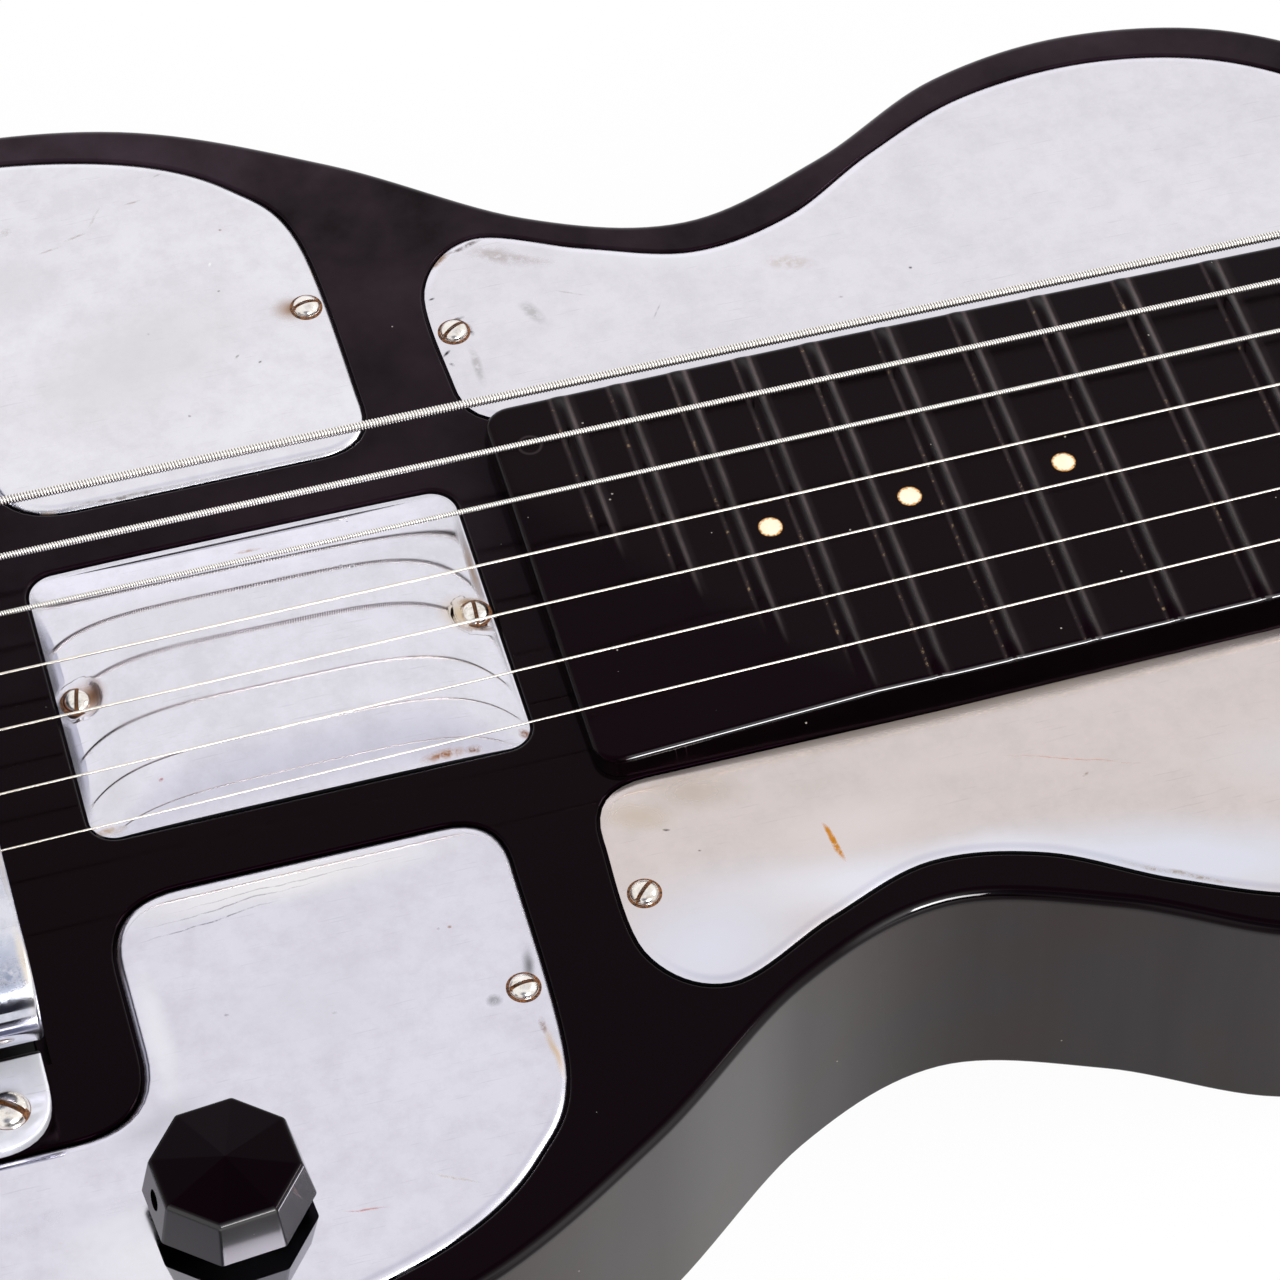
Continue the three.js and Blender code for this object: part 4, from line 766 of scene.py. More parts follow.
DOT_RADIUS = 1.85
DOT_PLACES = [
    (175, 0), (196.5, 0), (220.5, 0), (262.8, 0), (311, 7.5), (311, -7.5), (392, 0), (436, 0),
]
DOT_PROFILE = [(1, -2), (1, -0.04), (0.97, 0), (0.8, 0.01), (0.5, 0.01)]


@surface
def celluloid(add, place, pale, deep, shaft=-1):
    """Cream celluloid, sanded and gone yellow: a waxy soft gloss over slightly cloudy colour.
    A piece with a steel shaft has bare metal nearer the middle plane than the shaft's end."""
    rim = add("Attribute", out="Fac", attribute_name="rim")
    cloud = add("TexNoise", {"Vector": place, "Scale": 420, "Detail": 4})
    base = add("Mix", cloud, pale, deep)
    # The glue line: brown at the very rim, then a ragged amber
    tooth = add("TexNoise", {"Vector": place, "Scale": 2200, "Detail": 2})
    ragged = add("Math.MULTIPLY_ADD", tooth, 0.45, rim)
    amber = add("MapRange", ragged, 1.0, 1.12)
    base = add("Mix", amber, base, "#d79a4c")
    stain = add("MapRange", ragged, 1.14, 1.24)
    base = add("Mix", stain, base, "#3a220c")
    across = add("SeparateXYZ", {"Vector": place}, out="Y")
    across = add("Math.ABSOLUTE", across)
    steel = add("MapRange", across, shaft - 0.0001, shaft + 0.0001, 1, 0)
    bare = add("Mix", cloud, "#a9a296", "#c9c4b9")
    base = add("Mix", steel, base, bare)
    relief = add("Bump", {"Height": cloud, "Strength": 0.15, "Distance": 0.0002})
    return {
        "Base Color": base, "Metallic": steel, "Roughness": 0.35, "Normal": relief, "IOR": 1.5,
        "Subsurface Weight": 0.1, "Subsurface Scale": 0.001,
    }


dot_celluloid = celluloid("celluloid_peg_sanded", "#fff4e0", "#f6e2bf")
for number, (x, y) in enumerate(DOT_PLACES, 1):
    top = board_height(x, y) + 0.03
    corners, faces = stack([
        (circle(DOT_RADIUS * share, x, y, 28), top + rise) for share, rise in DOT_PROFILE])
    rims = [min(1, math.dist(corner[:2], (x, y)) / DOT_RADIUS) for corner in corners]
    dot = solid(f"position_dot_{number}", corners, faces, {"rim": rims})
    dress(dot, dot_celluloid, "button_cream", "chassis")


# The neck bolt. A nickelled machine screw with a slotted cheese head, sunk in the back, which
# draws the neck's tenon into its slot.


@surface
def plated_nickel(add, place, grime):
    """Nickel plate over brass, dulled: a warm soft gleam, with brown grime in its corners."""
    low = add("Attribute", out="Fac", attribute_name="low")
    # Tarnish in patches of about 1 mm
    tarnish = add("TexNoise", {"Vector": place, "Scale": 900, "Detail": 5, "Roughness": 0.7})
    ring = add("TexNoise", {"Vector": place, "Scale": 4000, "Detail": 2})
    base = add("ValToRGB", {"Fac": tarnish}, stops=[
        (0.3, "#c2b8ac"), (0.45, "#ece5dd"), (0.7, "#fbf8f4")])
    dirty = add("Math.MULTIPLY_ADD", tarnish, grime, low)
    dirty = add("MapRange", dirty, 0.45, 0.8)
    # From black-brown to rust, in crumbs of about 0.3 mm
    rust = add("MapRange", ring, 0.4, 0.62)
    rust = add("Mix", rust, "#2b1406", "#8a5320")
    base = add("Mix", dirty, base, rust)
    metal = add("MapRange", dirty, 0, 1, 1, 0)
    rough = add("MapRange", tarnish, 0.3, 0.8, 0.14, 0.3)
    rough = add("Math.MULTIPLY_ADD", dirty, 0.4, rough)
    relief = add("Bump", {"Height": ring, "Strength": 0.04, "Distance": 0.00005})
    return {"Base Color": base, "Metallic": metal, "Roughness": rough, "Normal": relief}


screw_nickel = plated_nickel("nickel_plate_tarnished", 0.35)


def screw(name, x, y, z, turn, sizes, slot_size):
    """A slotted screw, its head seated at z. The seat's ring and the slot's walls are marked low,
    where grime stays."""
    head, dome, rise, shank, length = sizes
    profile = [
        (0, -length), (shank * 0.9, shank - length), (shank, shank * 1.2 - length), (shank, -0.2),
        (head, -0.2), (head, 0.02), (dome + 0.06, 0),
    ]
    for step in range(9):
        angle = math.radians(90 * step / 8)
        profile.append((dome * math.cos(angle), 0.06 + (rise - 0.06) * math.sin(angle)))
    piece = turned(name, profile, 40)
    wide, deep = slot_size
    carve(piece, [
        block("cut_slot", -2 * head, 2 * head, -wide / 2, wide / 2, rise - deep, rise + 3)])
    mesh = piece.data
    lows = []
    for corner in mesh.vertices:
        px, py, pz = (value / MM for value in corner.co)
        out = math.hypot(px, py)
        in_slot = abs(py) < wide / 2 + 0.01 and pz < rise - deep + 0.05 and out < head
        lows.append(1.0 if in_slot or out > dome + 0.03 else 0.0)
    mesh.attributes.new("low", "FLOAT", "POINT").data.foreach_set("value", lows)
    mesh.transform(Matrix.Translation((x * MM, y * MM, z * MM)) @ Matrix.Rotation(turn, 4, "Z"))
    return bevelled(piece, 0.08, 2, 40)


bolt = screw("neck_bolt_screw", 0, 0, 0, 0.3, (6, 5.9, 3.2, 3, 33), (1.4, 1.6))
bolt.data.transform(
    Matrix.Translation((BOLT_X * MM, 0, BOLT_SEAT * MM)) @ Matrix.Rotation(math.pi, 4, "X"))
dress(bolt, screw_nickel, "screw_nickel", "chassis", "neck_bolt")


# The pickup's cradle. A chromed brass strap that lies in the well and steps up over the body's
# face to a rounded lug at each end, held by two round-headed screws each.


@surface
def chromed(add, place, bright, dull, wear, scratch, spots=(), metallic=1.0):
    """Chromium plate, worn by handling: a cool mirror clouded in patches, with fine scratches and
    tiny dark pits. The spots are its marks, some of them painted highlights and painted
    reflections: place, half length and width in mm, turn in degrees, colour and strength."""
    rim = add("Attribute", out="Fac", attribute_name="rim")
    # Clouding in patches of 15 to 40 mm, rubbing in patches of 2 to 8 mm, and a tooth of 1 mm
    cloud = add("TexNoise", {"Vector": place, "Scale": 38, "Detail": 8, "Roughness": 0.66})
    rubbed = add("TexNoise", {"Vector": place, "Scale": 190, "Detail": 6, "Roughness": 0.72})
    fine = add("TexNoise", {"Vector": place, "Scale": 900, "Detail": 4, "Roughness": 0.7})
    haze = add("MapRange", cloud, 0.38, 0.68)
    worn = add("MapRange", rubbed, 0.42, 0.66, 0.0, 0.7)
    worn = add("Math.MULTIPLY_ADD", haze, 0.6, worn, use_clamp=True)
    base = add("Mix", worn, bright, dull)
    # Short scratches in three directions, about 0.1 mm wide
    marks = []
    for turn, scale in ((0.9, 260), (-0.35, 420), (2.2, 330)):
        drawn = add("Mapping", {"Vector": place, "Rotation": (0, 0, turn),
                                "Scale": (scale / 2.5, scale * 10, scale)})
        line = add("TexNoise", {"Vector": drawn, "Scale": 1, "Detail": 2, "Roughness": 0.4})
        marks.append(add("MapRange", line, 0.71, 0.76, 0.0, scratch))
    lines = add("Math.MAXIMUM", marks[0], marks[1])
    lines = add("Math.MAXIMUM", lines, marks[2])
    base = add("Mix", lines, base, "#8f8c90")
    # Pits: dark specks 0.2 mm across, one to each 7 mm cell at most
    dirt = specks(add, place, 140, 0.25, 0.016)
    base = add("Mix", dirt, base, "#2a2526")
    # Its marks, painted highlights and reflections among them, their edges bent by a slow wave and
    # broken up by the tooth
    wave = add("TexNoise", {"Vector": place, "Scale": 150, "Detail": 3}, out="Color")
    bent = add("VectorMath.MULTIPLY_ADD", wave, (0.0016, 0.0016, 0), place)
    broken = add("MapRange", fine, 0.38, 0.55, 0.25, 1.0)
    for x, y, long, wide, turn, tone, share in spots:
        spot = add("Mapping", {
            "Vector": bent, "Location": ((x + 0.8) * MM, (y + 0.8) * MM, 0.042),
            "Rotation": (0, 0, math.radians(turn)), "Scale": (long * MM, wide * MM, 1),
        }, vector_type="TEXTURE")
        away = add("VectorMath.LENGTH", spot)
        if wide > 2.5:
            # A broad stain fades out softly
            cover = add("MapRange", away, 0, 1.25, share, 0, interpolation_type="SMOOTHSTEP")
        else:
            cover = add("MapRange", away, 0.3, 1.0, share, 0.0)
            cover = add("Math.MULTIPLY", cover, broken)
        base = add("Mix", cover, base, tone)
        if sum(colour(tone)[:3]) < 1.3:
            dirt = add("Math.MAXIMUM", dirt, cover)
    rough = add("MapRange", haze, 0.0, 1.0, 0.03, 0.03 + wear)
    rough = add("Math.MULTIPLY_ADD", lines, 0.15, rough)
    rough = add("Math.MULTIPLY_ADD", dirt, 0.5, rough)
    # The rolled edge has lost its polish
    rolled = add("MapRange", rim, 0.2, 1.6, 0.22, 0.0)
    rough = add("Math.ADD", rough, rolled)
    metal = add("MapRange", dirt, 0.0, 1.0, metallic, 0.25)
    # The sheet isn't quite flat: swells 30 mm long and 0.02 mm high
    swell = add("TexNoise", {"Vector": place, "Scale": 28, "Detail": 2})
    relief = add("Bump", {"Height": swell, "Strength": 0.12, "Distance": 0.0006})
    relief = add("Bump", {
        "Height": lines, "Strength": 0.05, "Distance": 0.00005, "Normal": relief})
    return {"Base Color": base, "Metallic": metal, "Roughness": rough, "Normal": relief}


# The lugs have gone dull: satin rather than mirror. Inside the well the plate is painted black:
# painted shade, as the well is dark there.
lug_chrome = chromed("chrome_plate_dulled", "#eeeef4", "#e2e1e9", 0.1, 0.3, metallic=0.3)
painted_shade_chrome = chromed("chrome_plate_grimy", "#161314", "#2b2524", 0.3, 0.3, metallic=0.3)

PICKUP_X = 34.4
LUG_HALF = 18.4
LUG_INNER = 59.9
LUG_OUTER = 73.4
LUG_CORNER = 9
LUG_TOP = 43.2
LUG_SCREW_X = 12.2
LUG_SCREW_Y = 67.2
LUG_BOTTOM = 41.6
LUG_X = (PICKUP_X - LUG_HALF, PICKUP_X + LUG_HALF)
# The magnet's pad, the upright web under the lug's inner edge, and the strap: their extents
# along, across and upward
PAD = ((19, 49.8), (38.1, 50.1), (35.25, 47.4))
WEB = (LUG_X, (58.3, LUG_INNER), (33.7, 42.9))
STRAP = (LUG_X, (-58.2, 58.2), (33.6, 35.2))


def lug_outline(side):
    """One lug, from its inner edge out to the rounded corners."""
    x0, x1 = LUG_X
    points = [(x0, LUG_INNER - 1), (x1, LUG_INNER - 1), (x1, LUG_OUTER - LUG_CORNER)]
    points += arc(points[-1], (x1, LUG_OUTER), (x1 - LUG_CORNER, LUG_OUTER), 10)
    points.append((x0 + LUG_CORNER, LUG_OUTER))
    points += arc(points[-1], (x0, LUG_OUTER), (x0, LUG_OUTER - LUG_CORNER), 10)
    return clean(points if side > 0 else mirrored(points))


def rounded_plate(name, outline, bottom, top, radius):
    """A flat plate with its upper edge rounded, marked with each corner's distance from the rim."""
    levels = [(outline, bottom), (outline, top - radius)]
    levels += rim_levels(outline, radius, top, 5)[1:]
    levels.append((outset(outline, -radius - 1.5), top))
    steps = [0, 0] + [radius * step / 5 for step in range(1, 6)] + [radius + 1.5]
    rims = [step for step in steps for _ in outline]
    return stacked(name, levels, {"rim": rims})


for side, word in ((1, "bass"), (-1, "treble")):
    lug = rounded_plate(f"pickup_lug_{word}", lug_outline(side), LUG_BOTTOM, LUG_TOP, 0.45)
    carve(lug, [
        turned("cut_lug", [(2.1, 38), (2.1, 50)], 24, PICKUP_X + along, side * LUG_SCREW_Y)
        for along in (-LUG_SCREW_X, LUG_SCREW_X)
    ])
    dress(lug, lug_chrome, "plate_chrome", "chassis", "pickup_cradle")
    for part, along, across, heights in (("pad", *PAD), ("web", *WEB)):
        y0, y1 = sorted(side * y for y in across)
        piece = block(f"pickup_{part}_{word}", *along, y0, y1, *heights)
        dress(bevelled(piece, 0.3), painted_shade_chrome, "plate_chrome", "chassis")
# The strap, and the pads and webs above, sit down in the dark well and are painted black as painted
# shade
strap = block("pickup_strap", *STRAP[0], *STRAP[1], *STRAP[2])
dress(bevelled(strap, 0.3), painted_shade_chrome, "plate_chrome", "chassis", "pickup_cradle")


# The bobbin, its coil and the pole comb. Black vulcanised fibre cheeks, wound with enamelled
# copper wire, round a comb of seven steel poles, one under each string.


@surface
def fine_surface(add, place, first, second, scale, metallic, rough, strength, stretch=(1, 1, 1)):
    """A dry workshop surface: two close colours in a grain, and a matching fine relief."""
    drawn = add("Mapping", {"Vector": place, "Scale": stretch})
    grain = add("TexNoise", {"Vector": drawn, "Scale": scale, "Detail": 6, "Roughness": 0.6})
    cloud = add("TexNoise", {"Vector": place, "Scale": 90, "Detail": 3})
    mixed = add("Math.MULTIPLY", grain, cloud)
    mixed = add("MapRange", mixed, 0.12, 0.4)
    base = add("Mix", mixed, first, second)
    gloss = add("MapRange", cloud, 0.3, 0.7, rough, rough + 0.15)
    relief = add("Bump", {"Height": grain, "Strength": strength, "Distance": 0.0002})
    return {"Base Color": base, "Metallic": metallic, "Roughness": gloss, "Normal": relief}


def reuse(node, material, width=0.2, segments=2):
    """Keeps a CAD node's own shape, with its edges rounded and a finished material."""
    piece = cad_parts[node]
    piece.data.materials.clear()
    piece.data.materials.append(material)
    weld = piece.modifiers.new("weld", "WELD")
    weld.merge_threshold = 0.00001
    bevelled(piece, width, segments)
    piece.modifiers.new("weighted", "WEIGHTED_NORMAL")


fibre = fine_surface("vulcanised_fibre_cut", "#241d1a", "#3a302a", 600, 0, 0.6, 0.2)
# Bands 0.4 mm high, twice as coarse as the wire, so that they show
copper = fine_surface("copper_wire_enamelled", "#6d2f16", "#a3552a", 700, 0.7, 0.3, 0.6, (1, 1, 4))
pole_steel = fine_surface("steel_rod_turned", "#8f8b84", "#b7b2aa", 500, 1, 0.3, 0.1)
reuse("pickup_bobbin", fibre)
reuse("pickup_coil", copper)
reuse("pole_comb", pole_steel)


# The two magnets. Each is a flat bar of chromed steel bent into a U: one leg lies over the
# strings, the bend stands out past them, and the other leg sits on the cradle's pad.

MAGNET_X = (15.4, 53.4)
MAGNET_THICKNESS = 5
MAGNET_BEND = 8.5
MAGNET_MIDDLE_Z = 56
MAGNET_BEND_Y = 55.4
MAGNET_LEG_END = 38

# Thicker plate on forged steel: streaky, with blue-grey mottling and rust along the edges, and a
# painted highlight along one edge of the treble magnet's bend
magnet_chrome = chromed("chrome_plate_on_forged_steel", "#e3e3ec", "#bfc2cf", 0.08, 0.3, [
    (44, -56, 12, 3.5, 0, "#8f9bb5", 0.7), (50, -60, 5, 2.5, 10, "#5d6a86", 0.8),
    # The pale tan streak at x 52.6 is a painted highlight on the treble bend's edge toward the neck
    (36, -60, 9, 2.5, -5, "#6f7c98", 0.7), (52.6, -58, 0.8, 6, 0, "#f3e6d2", 0.8),
    (52.9, -30, 0.5, 20, 0, "#9a7c50", 0.7), (44, 56, 12, 3.5, 0, "#8f9bb5", 0.6),
])


def magnet(name, side):
    """The bent bar, its edges rounded along both sides."""
    ring = []
    for reach in (MAGNET_BEND, MAGNET_BEND - MAGNET_THICKNESS):
        path = [(y, MAGNET_MIDDLE_Z + reach) for y in (0.15, 20, 40)]
        for step in range(33):
            angle = math.radians(90 - 180 * step / 32)
            path.append((MAGNET_BEND_Y + reach * math.cos(angle),
                         MAGNET_MIDDLE_Z + reach * math.sin(angle)))
        path.append((MAGNET_LEG_END, MAGNET_MIDDLE_Z - reach))
        ring += path if reach == MAGNET_BEND else path[::-1]
    radius = 0.7
    corners, rims = [], []
    x0, x1 = MAGNET_X
    rows = [(x0 + radius * aside, radius * (1 - up)) for aside, up in quarter(4)]
    rows += [(PICKUP_X, 0)] + [(x0 + x1 - x, drawn) for x, drawn in rows[::-1]]
    for x, drawn in rows:
        for i, (y, z) in enumerate(ring):
            other = ring[len(ring) - 1 - i]
            share = drawn / MAGNET_THICKNESS
            corners.append((x, side * (y + (other[0] - y) * share), z + (other[1] - z) * share))
            rims.append(min(x - x0, x1 - x, 6))
    count = len(ring)
    faces = []
    half = count // 2
    for i in range(half - 1):
        j = count - 1 - i
        faces.append((i, i + 1, j - 1, j))
        last = (len(rows) - 1) * count
        faces.append((last + j, last + j - 1, last + i + 1, last + i))
    faces += bands(count, len(rows), True)
    if side > 0:
        faces = [face[::-1] for face in faces]
    return solid(name, corners, faces, {"rim": rims})


for side, word in ((1, "bass"), (-1, "treble")):
    bar = magnet(f"magnet_bar_{word}", side)
    dress(bar, magnet_chrome, "magnet_chrome", "chassis", f"magnet_{word}")


# The pickup's screws. Four nickelled round-headed machine screws, two through each lug; rust has
# taken in their slots.

rusty_nickel = plated_nickel("nickel_plate_rusted", 0.6)
PICKUP_SCREWS = [
    ("bass_1", -1, 1, 0.5), ("bass_2", 1, 1, -0.6),
    ("treble_1", -1, -1, 1.7), ("treble_2", 1, -1, -0.62),
]
for word, end, side, turn in PICKUP_SCREWS:
    node = f"pickup_screw_{word}"
    piece = screw(node + "_head", PICKUP_X + end * LUG_SCREW_X, side * LUG_SCREW_Y, LUG_TOP, turn,
                  (3.15, 3.05, 1.9, 1.9, 14), (0.95, 0.9))
    dress(piece, rusty_nickel, "screw_nickel", "chassis", node)


# The bridge. A cast and machined block with a narrow crest, notched for each string, held down by
# a countersunk screw at each end.

cast_metal = fine_surface(
    "zinc_cast_machined", "#8e8b86", "#a9a6a0", 450, 1, 0.28, 0.12, (6, 0.6, 1))
reuse("bridge", cast_metal, 0.25, 3)


# The volume control. A tinned can under the lower treble plate, with a threaded bushing that
# comes up through the plate, a hexagon nut on it and a plain steel shaft.

KNOB_X, KNOB_Y = 72.6, -89
PLATE_TOP = 41.8
tinned = fine_surface("steel_can_tinned", "#8a8780", "#aca89f", 300, 1, 0.35, 0.1)
reuse("volume_pot", tinned)
reuse("volume_shaft", pole_steel)


def hexagon_nut(name, x, y, across, hole, height):
    """A hexagon nut on a cover plate, its corners turned off above and its bore cut."""
    tip, z, top = across / math.sqrt(3), PLATE_TOP, PLATE_TOP + height
    piece = turned(name, [(tip, z), (tip, top)], 6, x, y)
    cap = [(tip + 0.2, z - 1), (tip + 0.2, top - 0.6), (tip - 0.6, top), (tip - 0.6, top + 0.01)]
    carve(piece, [turned("cap", cap, 40, x, y)], "INTERSECT")
    carve(piece, [turned("bore", [(hole, z - 2), (hole, top + 2)], 32, x, y)])
    dress(bevelled(piece, 0.12, 2), screw_nickel, "screw_nickel", "chassis")


hexagon_nut("volume_nut", KNOB_X, KNOB_Y, 13, 4.65, 1.6)


# The output jack. A nickelled sleeve that comes up through the lower treble plate near the tail,
# with a hexagon nut to hold it.

JACK_X, JACK_Y = 4, -88
sleeve = turned("jack_sleeve", [
    (7, 19.9), (7, 39.8), (5.2, 39.8), (5.2, 43.7), (4.95, 44)], 48, JACK_X, JACK_Y)
bore = turned("bore", [(3.25, 21.5), (3.25, 43.4), (3.9, 44.1), (3.9, 44.9)], 40, JACK_X, JACK_Y)
carve(sleeve, [bore])
dress(bevelled(sleeve, 0.1, 2), screw_nickel, "screw_nickel", "chassis", "output_jack")
hexagon_nut("jack_nut", JACK_X, JACK_Y, 14, 5.25, 1.7)


# The inner leads. Two lengths of cloth-covered wire in the moulding's channels, from the coil to
# the volume control and on to the jack.

cloth = fine_surface("cotton_braid_waxed", "#26251f", "#45433a", 1600, 0, 0.75, 0.5)
reuse("jack_lead", cloth, 0.1)
reuse("pickup_lead", cloth, 0.1)


# The cover plates. Five pieces of chromed brass sheet, pressed so that their edges roll down, and
# screwed flush over the recesses. The centre plate is pressed to a shallow dome, flattened again
# to a dimple round each of its two screws.

PLATE_BOTTOM = 40.3
ROLL = 1.7
ROLL_DROPS = {"plate_upper_bass": 0.4, "plate_upper_treble": 0.35}
CENTRE_SCREWS = (70.3, 129.9)
CENTRE_SEAT = 41.9
DOME_MIDDLE = 100
DOME_REACH = 32.5
DOME_FOOT = 40.86
DOME_RISE = 3.609
DOME_FALL_ACROSS = 0.895
DIMPLE_RADIUS = 3.7
DIMPLE_SLOPE = 0.7


def flat_plate(name, outline, holes):
    """A flat cover plate with a rolled edge, and holes given by radius and place."""
    drop = ROLL_DROPS.get(name, 0.62)
    levels = [(outline, PLATE_BOTTOM), (outline, PLATE_TOP - drop - 0.02)]
    rims = [0.0] * (2 * len(outline))
    for step in range(10):
        share = step / 9
        levels.append((outset(outline, -ROLL * share), PLATE_TOP - drop * (1 - share) ** 2.6))
        rims += [ROLL * share] * len(outline)
    for reach in (3, 5.5):
        levels.append((outset(outline, -reach), PLATE_TOP + 0.004 * reach))
        rims += [reach] * len(outline)
    plate = stacked(name + "_pressed", levels, {"rim": rims})
    if holes:
        carve(plate, [turned("cut_plate", [(r, 30), (r, 50)], 40, x, y) for r, x, y in holes])
    return plate


def dome_height(x, y):
    """The centre plate's surface, with its dimples. The two powers set how full the dome is along
    and across, as the strings' reflections in it show."""
    u = abs((x - DOME_MIDDLE) / DOME_REACH + 0.008) ** 4.034
    v = abs(y / CENTRE_HALF + 0.029) ** 4.519
    z = DOME_FOOT + DOME_RISE * max(0, 1 - u) * (1 - DOME_FALL_ACROSS * min(1, v))
    for screw_x in CENTRE_SCREWS:
        near = math.dist((x, y), (screw_x, 0))
        share = min(1, max(0, (DIMPLE_RADIUS - near) / DIMPLE_SLOPE))
        share = share * share * (3 - 2 * share)
        floor = CENTRE_SEAT + (z - CENTRE_SEAT) * 0.3
        z = z + (min(z - 0.12, floor) - z) * share
    return z


def crowded(share, most):
    """A place from -1 to 1 for a share of the way, in steps that grow shorter toward both ends."""
    return math.sin(math.pi / 2 * (2 * share - 1) * most) / math.sin(math.pi / 2 * most)


def centre_plate():
    """The domed plate, as a grid over its rounded outline with a skirt down to its edge."""
    columns, rows = 170, 130
    middle = sum(CENTRE_X) / 2
    half_x = (CENTRE_X[1] - CENTRE_X[0]) / 2
    corners, rims = [], []
    for j in range(rows + 1):
        y = CENTRE_HALF * crowded(j / rows, 0.98)
        short = drawn_in(CENTRE_CORNER, CENTRE_HALF - abs(y))
        for i in range(columns + 1):
            x = middle + crowded(i / columns, 0.96) * (half_x - short)
            corners.append((x, y, dome_height(x, y)))
            rims.append(min(half_x - short - abs(x - middle), CENTRE_HALF - abs(y)))
    wide = columns + 1
    faces = []
    for j in range(rows):
        for i in range(columns):
            a = j * wide + i
            faces.append((a, a + 1, a + 1 + wide, a + wide))
    edge = list(range(columns)) + [columns + j * wide for j in range(rows)]
    edge += [rows * wide + i for i in range(columns, 0, -1)]
    edge += [j * wide for j in range(rows, 0, -1)]
    outline = [corners[i][:2] for i in edge]
    heights = [corners[i][2] for i in edge]
    count = len(edge)
    previous = edge
    skirt = [(-0.06, [z - 0.06 for z in heights]), (0, [z - 0.2 for z in heights])]
    for reach, levels in skirt + [(0, [PLATE_BOTTOM] * count)]:
        following = list(range(len(corners), len(corners) + count))
        corners += [(x, y, z) for (x, y), z in zip(outset(outline, reach), levels)]
        rims += [0] * count
        for k in range(count):
            m = (k + 1) % count
            faces.append((previous[k], following[k], following[m], previous[m]))
        previous = following
    faces.append(tuple(following[::-1]))
    return solid("plate_centre_domed", corners, faces, {"rim": rims})
